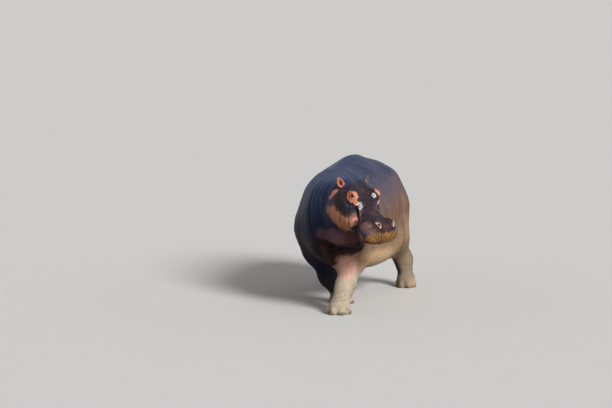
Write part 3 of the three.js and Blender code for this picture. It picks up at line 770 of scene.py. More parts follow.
bodyPatches = {
    "shade": (
        dict(at=(-260, -700, 700), radii=(330, 420, 560), soft=0.4),
        dict(at=(190, -1060, 850), radii=(370, 360, 220), soft=0.3),
    ),
    "throat": (
        dict(at=(240, -1230, 840), radii=(230, 200, 90), turn=(0, -10, 0), soft=0.5),
        dict(at=(90, -1160, 850), radii=(120, 160, 70), soft=0.6, strength=0.7),
    ),
    # Painted light on the lower left belly, where it faces down, with the belly's pale tone.
    "pale": (
        dict(at=(380, -80, 440), radii=(210, 380, 110), soft=0.7),
    ),
    # Painted shadow of the belly on the left hind leg, darker and greyer.
    "hindGreyShadow": (
        dict(at=(380, 760, 330), radii=(210, 260, 330), soft=0.35),
    ),
    # The forearm's pink, painted brighter as sunlit, and a fainter patch by the throat.
    "flushSunlit": (
        dict(at=(290, -1010, 480), radii=(120, 150, 130), soft=0.6),
        dict(at=(300, -1110, 800), radii=(200, 130, 60), soft=0.6, strength=0.4),
    ),
}
# Painted shadow: the chest is painted dark above this plane and left of that one, where the head's
# shadow falls on it.
chestShade = {"at": (326, -979, 594), "down": (0.527, 0.019, -0.849), "aside": (0.961, 0.276, 0.0),
              "edge": 180, "soft": 30}


# 1 inside the nearest patch and 0 outside all of them, by the distance in units of its radii.
def patchMask(points, patches, folded=False):
    mask = np.zeros(len(points))
    for patch in patches:
        here = points
        if folded and "oneSide" not in patch:
            here = np.stack((points[:, 0], np.abs(points[:, 1]), points[:, 2]), 1)
        near = (here - patch["at"]) @ spinOf(*patch.get("turn", (0, 0, 0))) / patch["radii"]
        soft = patch["soft"]
        inside = 1 - smoothStep(1 - soft, 1 + soft, np.linalg.norm(near, axis=1))
        mask = np.maximum(mask, inside * patch.get("strength", 1))
    return mask


normals = vertexNormals(skinPoints, skinTriangles)
inHead = toHead(skinPoints)
onHead = smoothStep(600, 520, np.linalg.norm(inHead - headJoin["middle"], axis=1))
marks = {name: patchMask(inHead, patches, True) * onHead for name, patches in headPatches.items()}
marks.update({name: patchMask(skinPoints, patches) for name, patches in bodyPatches.items()})
x, y, z = skinPoints.T

# By height, and by which way the skin faces: the wet back, painted blue as the sky's reflection where
# it faces up, the pale belly, the muddy feet.
marks["back"] = smoothStep(-0.1, 1.0, normals @ unit((-0.25, -0.1, 0.96))) * smoothStep(800, 1300, z)
# The upper flank's violet-grey: partly its own tone, partly painted sky reflection, more where the skin
# faces up.
marks["high"] = smoothStep(860, 1300, z + 120 * normals[:, 2])
marks["belly"] = smoothStep(960, 470, z)
marks["mud"] = smoothStep(560, 300, z) * (1 - 0.5 * smoothStep(0, 500, y))
# Painted shade where the muzzle's underside faces down.
lowest = smoothStep(-0.35, -0.8, normals[:, 2]) * onHead
lowest *= smoothStep(240, 300, inHead[:, 0]) * smoothStep(-180, -230, inHead[:, 2])
marks["under"] = np.maximum(marks["under"], lowest)

# The chest's painted shadow lies below the one plane and beside the other, between the shoulders'
# heights.
inChest = (skinPoints - chestShade["at"]) @ np.array((chestShade["down"], chestShade["aside"])).T
inChest[:, 1] += np.array(chestShade["at"]) @ chestShade["aside"] - chestShade["edge"]
inChest += 14 * waves(skinPoints, 90, 7)[:, None]
marks["chest"] = smoothStep(chestShade["soft"], -chestShade["soft"], inChest).prod(1)
marks["chest"] *= smoothStep(-560, -680, y) * smoothStep(420, 500, z) * smoothStep(860, 740, z)
marks["chest"] *= smoothStep(-420, -300, x)

# Painted shade: the side away from the sun, with both right legs, is painted dark navy.
away = {name: pathDistance(skinPoints, np.array((*leg["joints"][1:], (*leg["foot"], 0)), float))
        for name, leg in legs.items()}
awayRight = np.minimum(away["fore_R"], away["hind_R"])
onRight = smoothStep(-25, 25, np.minimum(away["fore_L"], away["hind_L"]) - awayRight)
onRight *= smoothStep(250, 170, awayRight)
facing = -normals @ unit((0.96, 0.2, 0.1))
# Painted sky reflection: high skin that faces away from the sun is painted blue.
marks["shadedSkyReflection"] = smoothStep(-0.55, 0.35, facing) * smoothStep(750, 1000, z)
low = np.interp(y, (-800, -600), (450, 330))  # where it begins, higher at the chest
aboveLow = np.clip((z - low) / 130, 0, 1)
hindquarters = 0.75 * smoothStep(100, 300, y) * smoothStep(60, 160, z)
marks["paintedShade"] = smoothStep(0.0, 0.75, facing) * np.maximum(aboveLow, hindquarters)
rightLegs = 0.95 * onRight * smoothStep(700, 600, z) * smoothStep(20, 170, z)
marks["paintedShade"] = np.maximum(marks["paintedShade"], rightLegs)

marks["eyelid"] = np.maximum(marks["eyelid"], nearEye)
marks.update(lidShade=lidShade, lidDeep=lidDeep * nearEye, lidPale=lidPale, lidLine=lidLine)
marks.update(nostrilRim=nearNostril, nostrilPit=inNostril, crease=np.clip(crease, 0, 1))
marks.update(earCup=inEar, earDeep=deepEar, earSkin=onEar * earLit)
print("markings")


# A mesh object from points in body millimetres, its faces and its own values at the points.
def newPiece(name, points, faces, values=None):
    data = bpy.data.meshes.new(name)
    data.from_pydata(toRow(points).tolist(), [], faces.tolist())
    for key, value in (values or {}).items():
        data.attributes.new(key, "FLOAT", "POINT").data.foreach_set("value", value.astype(np.float32))
    data.shade_smooth()
    piece = bpy.data.objects.new(name, data)
    bpy.context.collection.objects.link(piece)
    return piece


# A number on its way through the nodes: each sum or product on it adds a Math node.
class Number:
    def __init__(self, look, socket):
        self.look, self.socket = look, socket

    def __add__(self, other):
        return self.look.maths("ADD", self, other)

    def __sub__(self, other):
        return self.look.maths("SUBTRACT", self, other)

    def __rsub__(self, other):
        return self.look.maths("SUBTRACT", other, self)

    def __mul__(self, other):
        return self.look.maths("MULTIPLY", self, other)

    __radd__ = __add__
    __rmul__ = __mul__

    # 0 below low, 1 above high and a smooth step between; a high below the low turns it round.
    def step(self, low, high):
        kind = dict(interpolation_type="SMOOTHSTEP")
        made = self.look.node("MapRange", kind, {0: self, 1: low, 2: high})
        return Number(self.look, made.outputs[0])


# The nodes of a material, or of the world.
class Look:
    def __init__(self, owner):
        owner.use_nodes = True
        self.owner, self.tree = owner, owner.node_tree
        self.tree.nodes.clear()

    # A node of a kind: its settings first, then a value or a link for each socket.
    def node(self, kind, settings=None, inputs=None):
        made = self.tree.nodes.new("ShaderNode" + kind)
        for key, value in (settings or {}).items():
            setattr(made, key, value)
        for key, value in (inputs or {}).items():
            socket = made.inputs[key]
            value = getattr(value, "socket", value)
            if isinstance(value, bpy.types.NodeSocket):
                self.tree.links.new(value, socket)
            elif socket.type == "RGBA":
                socket.default_value = (*value, 1)
            else:
                socket.default_value = value
        return made

    # A Math node on its values.
    def maths(self, operation, *values):
        made = self.node("Math", dict(operation=operation), dict(enumerate(values)))
        return Number(self, made.outputs[0])

    # The place on the object in metres.
    def place(self):
        return self.node("TexCoord").outputs["Object"]

    # The place times a factor along each axis.
    def stretched(self, *factors):
        times = dict(operation="MULTIPLY")
        return self.node("VectorMath", times, {0: self.place(), 1: factors}).outputs[0]

    # The piece's own value of that name.
    def mark(self, name):
        return Number(self, self.node("Attribute", dict(attribute_name=name)).outputs["Fac"])

    # Cloudy noise about 0.5, so many waves to the unit of its place.
    def noise(self, scale, detail=3.0, roughness=0.55, place=None):
        place = place or self.place()
        values = {"Vector": place, "Scale": scale, "Detail": detail, "Roughness": roughness}
        return Number(self, self.node("TexNoise", None, values).outputs["Fac"])

    # Distance to the edge of irregular cells, so many of them to the metre.
    def cracks(self, scale, place):
        kind = dict(feature="DISTANCE_TO_EDGE")
        made = self.node("TexVoronoi", kind, {"Vector": place, "Scale": scale})
        return Number(self, made.outputs["Distance"])

    # The colour a, with the factor's share of the colour b.
    def mix(self, factor, a, b, blend="MIX"):
        kind = dict(data_type="RGBA", blend_type=blend, clamp_factor=True)
        return self.node("Mix", kind, {0: factor, 6: a, 7: b}).outputs[2]

    # 1 for the rays that see the floor and the backdrop, also in gloss and through clear things.
    def seen(self):
        rays = self.node("LightPath").outputs
        kinds = [Number(self, rays[f"Is {kind} Ray"]) for kind in ("Camera", "Glossy", "Transmission")]
        return (kinds[0] + kinds[1] + kinds[2]).step(0, 1)

    # The material itself, once its shader has its values.
    def finish(self, values):
        shader = self.node("BsdfPrincipled", None, values)
        self.node("OutputMaterial", None, {"Surface": shader.outputs[0]})
        return self.owner


# A look in a new material.
def newLook(name):
    return Look(bpy.data.materials.new(name))


# Hide: the body's colours are laid over each other by the marks, every edge broken up by noise.
hide = {
    "flank": (0.290, 0.170, 0.102),
    "flankDark": (0.165, 0.100, 0.080),
    "high": (0.150, 0.115, 0.140),
    # The back: painted blue as the sky's reflection on the wet top, with paler painted highlights.
    "back": (0.026, 0.042, 0.100),
    "backSkyHighlight": (0.066, 0.082, 0.165),
    "belly": (0.50, 0.325, 0.195),
    "bellyDark": (0.30, 0.185, 0.115),
    "mud": (0.62, 0.52, 0.39),
    "mudDark": (0.34, 0.27, 0.19),
    # Painted shade on the side away from the sun, bluer higher up as painted sky reflection.
    "paintedShade": (0.002, 0.012, 0.050),
    "paintedShadePurple": (0.014, 0.010, 0.030),
    "paintedShadeSkyBlue": (0.014, 0.034, 0.100),
    "throat": (0.155, 0.074, 0.100),
    # Painted light on the lower belly, with its pale tone.
    "pale": (0.86, 0.60, 0.38),
    "hindGreyShadow": (0.185, 0.150, 0.095),
    "mauve": (0.27, 0.155, 0.130),
    "shadedSkyReflection": (0.020, 0.052, 0.145),
    "shade": (0.040, 0.019, 0.033),
    # Painted shadow of the head on the chest.
    "chest": (0.010, 0.008, 0.015),
    "chestShadowRed": (0.052, 0.021, 0.030),
    "flushSunlit": (0.90, 0.52, 0.43),
    "face": (0.034, 0.023, 0.029),
    "faceRed": (0.125, 0.055, 0.044),
    "faceSkyReflection": (0.038, 0.036, 0.060),
    "scuff": (0.27, 0.19, 0.18),
    "scuffPale": (0.62, 0.50, 0.42),
    "tanSunlit": (0.56, 0.26, 0.160),
    "tanDark": (0.16, 0.080, 0.060),
    "cheekDark": (0.030, 0.022, 0.026),
    "lip": (0.50, 0.25, 0.080),
    "lipDark": (0.16, 0.080, 0.040),
    "lidLine": (0.035, 0.016, 0.012),
    # Painted shade below the muzzle and jaw.
    "under": (0.016, 0.013, 0.016),
    "pink": (0.95, 0.35, 0.30),
    # Painted sky reflection along the bridge's far edge.
    "ridgeSkySheen": (0.060, 0.072, 0.150),
    "eyelid": (0.90, 0.36, 0.21),
    "lidDeep": (0.66, 0.185, 0.085),
    "lidShade": (0.17, 0.040, 0.020),
    "lidPale": (0.95, 0.78, 0.72),
    "glint": (0.88, 0.84, 0.83),
    "nostrilRim": (0.78, 0.50, 0.46),
    "nostrilPit": (0.16, 0.012, 0.014),
    "earSkin": (0.84, 0.40, 0.24),
    "earCup": (0.64, 0.20, 0.095),
    "earDeep": (0.055, 0.012, 0.010),
    # Painted shade in the creases.
    "creaseShade": (0.020, 0.010, 0.012),
    "crackCells": (64, 150),  # to the metre: the wrinkles' network and the finer one in it
    "bump": 0.0036,  # metres
}


# The hide: each layer covers the ones before it where its mark and its noise say so.
def hideLook():
    look = newLook("hide")
    broad = look.noise(2.6, 4)
    patchy = look.noise(9, 5, 0.6)
    speckle = look.noise(46, 4, 0.65)
    fine = look.noise(210, 3, 0.6)
    mottle = patchy * 0.45 + speckle * 0.55
    streaks = look.noise(1.0, 4, 0.6, look.stretched(15.0, 15.0, 2.6))  # hanging down the flanks
    hairStreaks = look.noise(1.0, 4, 0.6, look.stretched(60.0, 60.0, 16.0))
    scrapes = look.noise(1.0, 3, 0.6, look.stretched(38.0, 38.0, 12.0))
    bands = look.noise(1.0, 3, 0.6, look.stretched(14.0, 14.0, 70.0))  # level, as mud dries

    # The wrinkles: cells with their edges bent by noise, 16 mm at most.
    place = look.place()
    warp = look.node("TexNoise", None, {"Vector": place, "Scale": 34.0, "Detail": 2.0})
    warp = look.node("VectorMath", dict(operation="MULTIPLY_ADD"),
                     {0: warp.outputs["Color"], 1: (0.016,) * 3, 2: place}).outputs[0]
    wide, narrow = [look.cracks(cells, warp) for cells in hide["crackCells"]]
    furrow = wide.step(0.0, 0.16)
    line = narrow.step(0.0, 0.2)

    # A mark with its edge broken up by noise of the given weight, and nothing where there is no mark.
    def broken(name, noise, weight, soft=0.22):
        mark = look.mark(name)
        return (mark + (noise - 0.5) * weight).step(0.5 - soft, 0.5 + soft) * mark.step(0.0, 0.25)

    # Body: the flank, the belly, the back with its painted sky reflection, the mud, and the painted
    # shade on the side away from the sun.
    colour = look.mix((streaks * 0.5 + mottle * 0.5).step(0.40, 0.62), hide["flank"], hide["flankDark"])
    belly = look.mix((mottle * 0.7 + streaks * 0.3).step(0.44, 0.62), hide["belly"], hide["bellyDark"])
    colour = look.mix(broken("belly", broad * 0.7 + streaks * 0.3, 1.9, 0.5), colour, belly)
    # The upper flank: partly its own tone, partly painted sky reflection.
    colour = look.mix(broken("high", streaks * 0.5 + broad * 0.5, 2.0, 0.6), colour, hide["high"])
    # The back: painted sky reflection, with paler painted highlights in its streaks.
    back = look.mix((streaks * 0.6 + mottle * 0.4).step(0.50, 0.62), hide["back"], hide["backSkyHighlight"])
    long = streaks * 0.4 + broad * 0.6
    colour = look.mix(broken("back", long, 0.9, 0.5) * 0.95, colour, back)
    # Painted sky reflection on the high skin that faces away from the sun.
    colour = look.mix(broken("shadedSkyReflection", long, 0.9, 0.5) * 0.65, colour, hide["shadedSkyReflection"])
    mud = look.mix((mottle * 0.7 + bands * 0.3).step(0.46, 0.64), hide["mud"], hide["mudDark"])
    colour = look.mix(broken("mud", patchy, 0.6, 0.4), colour, mud)
    scuffs = (scrapes * 0.5 + speckle * 0.5).step(0.60, 0.68) * (0.2 + 0.5 * look.mark("belly"))
    colour = look.mix(scuffs * (1 - look.mark("paintedShade")), colour, hide["scuffPale"])
    # Painted light on the lower left belly, with its pale tone.
    colour = look.mix(broken("pale", mottle, 0.8, 0.5) * 0.9, colour, hide["pale"])
    # Painted shadow of the belly on the left hind leg.
    colour = look.mix(broken("hindGreyShadow", mottle, 1.0, 0.4) * 0.55, colour, hide["hindGreyShadow"])
    colour = look.mix(broken("shade", streaks, 0.5, 0.4) * 0.88, colour, hide["shade"])
    # Painted shade on the side away from the sun, bluer higher up as painted sky reflection.
    paintedShade = look.mix(broad.step(0.4, 0.62), hide["paintedShade"], hide["paintedShadePurple"])
    paintedShade = look.mix(look.mark("high"), paintedShade, hide["paintedShadeSkyBlue"])
    colour = look.mix(broken("paintedShade", broad, 0.6, 0.4) * 0.92, colour, paintedShade)
    # Painted shadow of the head on the chest.
    chest = look.mix(streaks.step(0.45, 0.62), hide["chest"], hide["chestShadowRed"])
    colour = look.mix(broken("chest", speckle, 0.3, 0.25) * 0.95, colour, chest)
    colour = look.mix(broken("throat", streaks, 1.2, 0.5) * 0.9, colour, hide["throat"])
    # The forearm's pink, painted brighter as sunlit.
    colour = look.mix(broken("flushSunlit", mottle, 1.2, 0.4) * 0.9, colour, hide["flushSunlit"])

    # Head: the dark face with painted sky reflection, its paler muzzle, the tan cheeks, partly painted
    # as sunlit, and the lips.
    face = look.mix(patchy.step(0.48, 0.68) * 0.8, hide["face"], hide["faceRed"])
    # Painted sky reflection: blue-grey patches on the face.
    face = look.mix(broad.step(0.5, 0.64) * 0.7, face, hide["faceSkyReflection"])
    face = look.mix((hairStreaks * 0.7 + speckle * 0.3).step(0.58, 0.68) * 0.7, face, hide["scuff"])
    colour = look.mix(broken("face", patchy, 0.4, 0.3), colour, face)
    colour = look.mix(broken("mauve", hairStreaks, 2.8, 0.5) * 0.85, colour, hide["mauve"])
    tufted = hairStreaks * 0.7 + mottle * 0.3
    # The cheeks' tan, partly painted sunlight.
    tanSunlit = (hairStreaks * 0.6 + patchy * 0.4).step(0.53, 0.68) * 0.6
    tanSunlit = look.mix(tanSunlit, hide["tanSunlit"], hide["tanDark"])
    colour = look.mix(broken("tanSunlit", tufted, 2.5, 0.4), colour, tanSunlit)
    colour = look.mix(broken("cheekDark", tufted, 2.8, 0.5), colour, hide["cheekDark"])
    lip = look.mix((patchy * 0.5 + hairStreaks * 0.5).step(0.40, 0.60), hide["lipDark"], hide["lip"])
    colour = look.mix(broken("lip", patchy * 0.4 + hairStreaks * 0.6, 2.0, 0.45), colour, lip)
    for name, noise, weight in (
            ("ridgeSkySheen", speckle, 1.2), ("pink", hairStreaks, 0.8), ("earSkin", patchy, 0.5),
            ("earCup", patchy, 0.4), ("earDeep", speckle, 0.3), ("nostrilRim", speckle, 0.7),
            ("eyelid", mottle, 1.3), ("lidDeep", patchy, 1.0), ("lidShade", speckle, 0.8),
            ("lidPale", speckle, 0.5), ("lidLine", speckle, 0.2), ("nostrilPit", speckle, 0.3),
            ("under", patchy, 0.6)):
        colour = look.mix(broken(name, noise, weight), colour, hide[name])
    glint = (look.mark("glint") + (mottle - 0.5) * 1.1).step(0.15, 0.8)
    glint = glint * (hairStreaks * 0.75 + speckle * 0.25).step(0.38, 0.52)
    colour = look.mix(glint, colour, hide["glint"])

    # Grain, painted shade in the creases, and relief.
    tone = 0.50 + 0.84 * speckle + 0.06 * furrow
    grey = look.node("CombineColor", None, {0: tone, 1: tone, 2: tone}).outputs[0]
    colour = look.mix(1.0, colour, grey, "MULTIPLY")
    colour = look.mix(look.mark("crease") * 0.85, colour, hide["creaseShade"])
    height = furrow * (0.04 + 0.26 * patchy) + line * 0.07 + speckle * 0.34 + fine * 0.07
    bump = look.node("Bump", None, {"Strength": 0.9, "Distance": hide["bump"], "Height": height})
    wet = look.mark("paintedShade") * 0.6 + look.mark("back") * 0.6 + look.mark("face") * 0.8
    wet = wet.step(0.0, 0.9) * (1 - look.mark("mud") * 0.7)
    roughness = 0.74 - 0.26 * wet + 0.2 * (speckle - 0.5)
    return look.finish({"Base Color": colour, "Roughness": roughness, "Normal": bump.outputs[0],
                        "Specular IOR Level": 0.06, "Coat Weight": wet * 0.06, "Coat Roughness": 0.2})


skin = newPiece("skin", skinPoints, skinTriangles, marks)
skin.data.materials.append(hideLook())
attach(skin, "root")
fleshNodes = ["trunk", "neck", "head", "lower_jaw", "tail", "ear_L", "ear_R", "foreleg_L", "foreleg_R",
              "hindleg_L", "hindleg_R", "forefoot_L", "forefoot_R", "hindfoot_L", "hindfoot_R"]
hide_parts(*fleshNodes)
print("skin", len(skinPoints), "points", len(skinTriangles), "triangles")


# Faces of a grid of points, in rows that close on themselves.
def gridFaces(rows, columns):
    i, j = np.meshgrid(np.arange(rows - 1), np.arange(columns), indexing="ij")
    low, high, after = i * columns, (i + 1) * columns, (j + 1) % columns
    return np.stack((low + j, low + after, high + after, high + j), -1).reshape(-1, 4)


# Eyes: a ball about the gaze, with a clear bulge over the iris.
eyes = {
    "rows": 48,
    "columns": 64,
    "iris": 0.68,  # radians from the gaze to its edge
    "bulge": 1.8,  # millimetres at its middle
    "white": (0.22, 0.11, 0.07),
    "vein": (0.42, 0.14, 0.09),
    "rim": (0.018, 0.009, 0.006),
    "irisColour": (0.026, 0.010, 0.004),
    "irisInner": (0.055, 0.022, 0.008),
    "pupil": (0.002, 0.002, 0.003),
}


# Radius R - 1 + bulge * (1 - (p / reach)^2)^2, where p is the angle from the gaze.
def eyeBall(name, side):
    outward = headSpin @ unit(lids["gaze"] * np.array((1, side, 1)))
    up = unit(headSpin[:, 2] - outward * (headSpin[:, 2] @ outward))
    fore = np.cross(outward, up)
    polar = np.linspace(0.004, math.pi - 0.004, eyes["rows"])
    angle = np.linspace(0, 2 * math.pi, eyes["columns"], endpoint=False)
    p, a = np.meshgrid(polar, angle, indexing="ij")
    across, upward = np.sin(p) * np.cos(a), np.sin(p) * np.sin(a)
    radius = eyes["bulge"] * np.clip(1 - (p / (eyes["iris"] * 1.25)) ** 2, 0, 1) ** 2
    radius += pose["eyeRadius"] - 1
    local = np.stack((across, upward, np.cos(p)), -1) * radius[..., None]
    middle = fromHead(np.array(pose["eyeAt"]) * (1, side, 1))
    points = middle + local.reshape(-1, 3) @ np.array((fore, up, outward))
    values = {"polar": p.ravel(), "across": across.ravel(), "upward": upward.ravel()}
    return newPiece(name, points, gridFaces(eyes["rows"], eyes["columns"]), values)


# A dark iris of fine spokes and a wide low pupil, inside a darker rim and a veined white.
def eyeLook():
    look = newLook("eye")
    polar, across, upward = look.mark("polar"), look.mark("across"), look.mark("upward")
    turn = look.maths("ARCTAN2", upward, across)
    spokes = look.node("CombineXYZ", None, {0: turn * 6.0, 1: polar * 2.0})
    fibres = look.noise(2.2, 4, 0.6, spokes.outputs[0])
    iris = look.mix(fibres.step(0.35, 0.7), eyes["irisColour"], eyes["irisInner"])
    white = look.mix(look.noise(160, 5, 0.7).step(0.5, 0.75) * 0.6, eyes["white"], eyes["vein"])
    colour = look.mix((polar - eyes["iris"] * 1.18).step(0.07, 0.0), white, eyes["rim"])
    colour = look.mix((polar - eyes["iris"]).step(0.03, -0.05), colour, iris)
    pupil = (across * across * 8 + upward * upward * 24).step(1.2, 0.85)
    colour = look.mix(pupil, colour, eyes["pupil"])
    return look.finish({"Base Color": colour, "Roughness": 0.12, "Specular IOR Level": 0.15,
                        "Coat Weight": 0.2, "Coat Roughness": 0.04})


eyeMaterial = eyeLook()
for name, side in (("eye_left", 1), ("eye_right", -1)):
    ball = eyeBall(name, side)
    ball.data.materials.append(eyeMaterial)
    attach(ball, "root")
    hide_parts("eye_L" if side == 1 else "eye_R")
print("eyes")

# Nails: a rounded hoof-like cap at the front of each toe, in millimetres for a foot of size 1.
hoof = {
    "radii": (17, 25, 24),  # half its thickness, width and height
    "power": 2.7,
    "rows": 30,
    "columns": 40,
    "reach": 142,  # from the foot's middle to the cap's
    "inset": 15,  # less this, at any size
    "middle": 28.0,  # the cap's height over the ground, at any size
    "lean": 0.24,
    "dark": (0.14, 0.105, 0.08),
    "pale": (0.34, 0.27, 0.20),
    "worn": (0.46, 0.37, 0.27),
}


# |x/a|^n + |y/b|^n + |z/c|^n = 1 with growth rings, narrower at the top, leaning back as it rises.
def nailCap(name, leg, angle):
    size = leg["size"]
    heading = math.radians(leg["heading"] - 90 + angle)
    outward = np.array((math.cos(heading), math.sin(heading), 0))
    across = np.array((-outward[1], outward[0], 0))
    polar = np.linspace(0.01, math.pi - 0.01, hoof["rows"])
    around = np.linspace(0, 2 * math.pi, hoof["columns"], endpoint=False)
    p, a = np.meshgrid(polar, around, indexing="ij")
    ball = np.stack((np.sin(p) * np.cos(a), np.sin(p) * np.sin(a), np.cos(p)), -1)
    k = (np.abs(ball) ** hoof["power"]).sum(-1) ** (-1 / hoof["power"])
    local = ball * k[..., None] * np.array(hoof["radii"]) * size
    height = local[..., 2].copy()
    local[..., :2] *= (1 + 0.006 * np.sin(height / size * 1.1))[..., None]
    local[..., 1] *= 1 - 0.22 * smoothStep(-4, 24, height / size)
    local[..., 0] -= hoof["lean"] * (height + 14)
    x, y = toePlace(leg, angle, hoof["reach"] * size - hoof["inset"])
    points = local.reshape(-1, 3) @ np.array((outward, across, (0, 0, 1))) + (x, y, hoof["middle"])
    points[:, 2] = np.maximum(points[:, 2], 1.0)
    faces = gridFaces(hoof["rows"], hoof["columns"])
    return newPiece(name, points, faces, {"rise": height.ravel() / size})


# Stained horn, paler where its edge wears on the ground, with the rings as a sine of the height.
def nailLook():
    look = newLook("nail")
    rise = look.mark("rise")
    rings = look.maths("SINE", rise * 1.1 + look.noise(40) * 5)
    stain = look.noise(70, 5)
    colour = look.mix(stain.step(0.35, 0.65), hoof["dark"], hoof["pale"])
    colour = look.mix(rise.step(-14, -22) * 0.6, colour, hoof["worn"])
    height = rings * 0.25 + stain
    bump = look.node("Bump", None, {"Strength": 0.5, "Distance": 0.0008, "Height": height})
    roughness = 0.42 + 0.2 * stain
    return look.finish({"Base Color": colour, "Roughness": roughness, "Normal": bump.outputs[0]})


nailMaterial = nailLook()
for legName, leg in legs.items():
    for number, angle in enumerate(toes["spread"]):
        nail = nailCap(f"hoof_{legName}{number + 1}", leg, angle)
        nail.data.materials.append(nailMaterial)
        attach(nail, "root")
        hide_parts(f"nail_{legName}{number + 1}")
print("nails")


# Points spread at random over the skin, as thick as the weight says, with the normals there.
def scattered(weight, count, seed):
    draw = np.random.default_rng(seed)
    a, b, c = [skinPoints[skinTriangles[:, i]] for i in range(3)]
    share = np.linalg.norm(np.cross(b - a, c - a), axis=1) * weight[skinTriangles].mean(1)
    chosen = draw.choice(len(share), count, p=share / share.sum())
    mix = draw.dirichlet((1, 1, 1), count)[..., None]
    corners = skinTriangles[chosen]
    roots = (skinPoints[corners] * mix).sum(1)
    return roots, unitRows((normals[corners] * mix).sum(1)), draw


# Bristles of every kind. A kind's own length and half thickness are the least and the most, in
# millimetres, and its fall is the share of the length by which the tip hangs.
bristle = {
    "rings": 5,
    "sides": 3,
    "taper": 0.86,
    "sunk": 3,  # millimetres of the root under the skin
    "patch": 0.003,  # the side of each one's square on the unwrap
}


# Faces of one bristle, and their corners on its patch of the unwrap, from 0 to 1.
def bristleFaces():
    rings, count = bristle["rings"], bristle["sides"]
    i, j = [side.ravel() for side in np.meshgrid(np.arange(rings - 1), np.arange(count), indexing="ij")]
    k = (j + 1) % count
    low, high = i * count, (i + 1) * count
    last = rings * count - 1
    faces = np.concatenate((np.stack((low + j, low + k, high + k), 1),
                            np.stack((low + j, high + k, high + j), 1),
                            [(2, 1, 0)], [(last - 2, last - 1, last)]))
    first = np.stack((np.stack((j, j + 1, j + 1), 1), np.stack((i, i, i + 1), 1)), -1)
    second = np.stack((np.stack((j, j + 1, j), 1), np.stack((i, i + 1, i + 1), 1)), -1)
    ends = [[(2, 0), (1, 0), (0, 0)], [(0, rings - 1), (1, rings - 1), (2, rings - 1)]]
    return faces, np.concatenate((first, second, ends)) / (count, rings - 1)


# Tapered bristles: root + way * length * t, less fall * length * t^2 in height, with a thin point.
# Each one's patch on the unwrap is a small square at its root's place.
def bristlePiece(name, kind, roots, ways, draw, unwrapped):
    rings, count = bristle["rings"], bristle["sides"]
    lengths = draw.uniform(*kind["length"], len(roots))
    thickness = draw.uniform(*kind["thickness"], len(roots))
    t = np.linspace(0, 1, rings)
    across = unitRows(np.cross(ways, (0.31, 0.22, 0.92)))
    other = np.cross(ways, across)
    reach = lengths[:, None, None] * t[None, :, None]
    middle = roots[:, None] + (reach - bristle["sunk"]) * ways[:, None]
    middle = middle - np.array((0, 0, 1)) * kind["fall"] * reach * t[None, :, None]
    turn = 2 * math.pi * np.arange(count) / count
    thick = (thickness[:, None] * (1 - bristle["taper"] * t))[:, :, None, None]
    ring = np.cos(turn)[:, None] * across[:, None, None]
    ring = ring + np.sin(turn)[:, None] * other[:, None, None]
    points = (middle[:, :, None] + thick * ring).reshape(-1, 3)
    one, square = bristleFaces()
    faces = (one[None] + np.arange(len(roots))[:, None, None] * rings * count).reshape(-1, 3)
    along = np.tile(np.repeat(t, count), len(roots))
    made = newPiece(name, points, faces, {"along": along})
    corners = unwrapped.clip(0.01, 0.98)[:, None, None] + square[None] * bristle["patch"]
    unwrap = made.data.uv_layers.new(name="OFBake").data
    unwrap.foreach_set("uv", corners.astype(np.float32).ravel())
    made.data.materials.append(bristleLook(kind))
    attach(made, "root")


# From the root's colour to the tip's, with darker stretches.
def bristleLook(kind):
    look = newLook(kind["look"])
    tone = look.noise(90, 2)
    colour = look.mix(look.mark("along").step(0, 0.9), kind["root"], kind["tip"])
    dark = tuple(0.5 * c for c in kind["tip"])
    colour = look.mix(tone.step(0.35, 0.7) * 0.4, colour, dark)
    return look.finish({"Base Color": colour, "Roughness": 0.5 + 0.1 * tone})


# Whiskers on the pads: the unwrap goes round the muzzle's long way.
whiskers = {
    "look": "whisker",
    "count": 230,
    "seed": 21,
    "length": (16, 42),
    "thickness": (0.7, 1.1),
    "fall": 0.25,
    "spread": 0.35,
    "root": (0.10, 0.06, 0.04),
    "tip": (0.50, 0.38, 0.26),
}
onPads = smoothStep(330, 420, inHead[:, 0]) * onHead * (1 - inNostril)
onPads *= smoothStep(-40, -110, inHead[:, 2]) * smoothStep(-275, -235, inHead[:, 2])
roots, outward, draw = scattered(onPads, whiskers["count"], whiskers["seed"])
ways = outward + whiskers["spread"] * draw.normal(size=outward.shape)
ways = unitRows(ways + headSpin @ (0.15, 0, -0.35))
local = toHead(roots)
unwrapped = np.stack((0.5 + np.arctan2(local[:, 1], local[:, 2] + 330) / math.pi * 0.45,
                      (local[:, 0] - 250) / 320), 1)
bristlePiece("whiskers", whiskers, roots, ways, draw, unwrapped)

# Short hairs on the ears' rims, away from a line down the ear's middle.
earHairs = {
    "look": "earHair",
    "count": 420,
    "seed": {1: 32, -1: 30},
    "length": (6, 15),
    "thickness": (0.28, 0.5),
    "fall": 0.1,
    "spread": 0.25,
    "root": (0.36, 0.18, 0.10),
    "tip": (0.62, 0.46, 0.32),
}
for name, side, at in zip(("ear_hairs_left", "ear_hairs_right"), sides, places["ear"]):
    spin = headSpin @ earSpin(side)
    roots, outward, draw = scattered(onRim[side], earHairs["count"], earHairs["seed"][side])
    local = (roots - at) @ spin
    rim = local * (0.25, 1, 0.7) + (14, 0, 14)
    ways = outward * 0.5 + unitRows(rim) @ spin.T
    ways = unitRows(ways + earHairs["spread"] * draw.normal(size=outward.shape))
    unwrapped = np.stack(((local[:, 1] + 45) / 90, (local[:, 2] + 70) / 140), 1)
    bristlePiece(name, earHairs, roots, ways, draw, unwrapped)

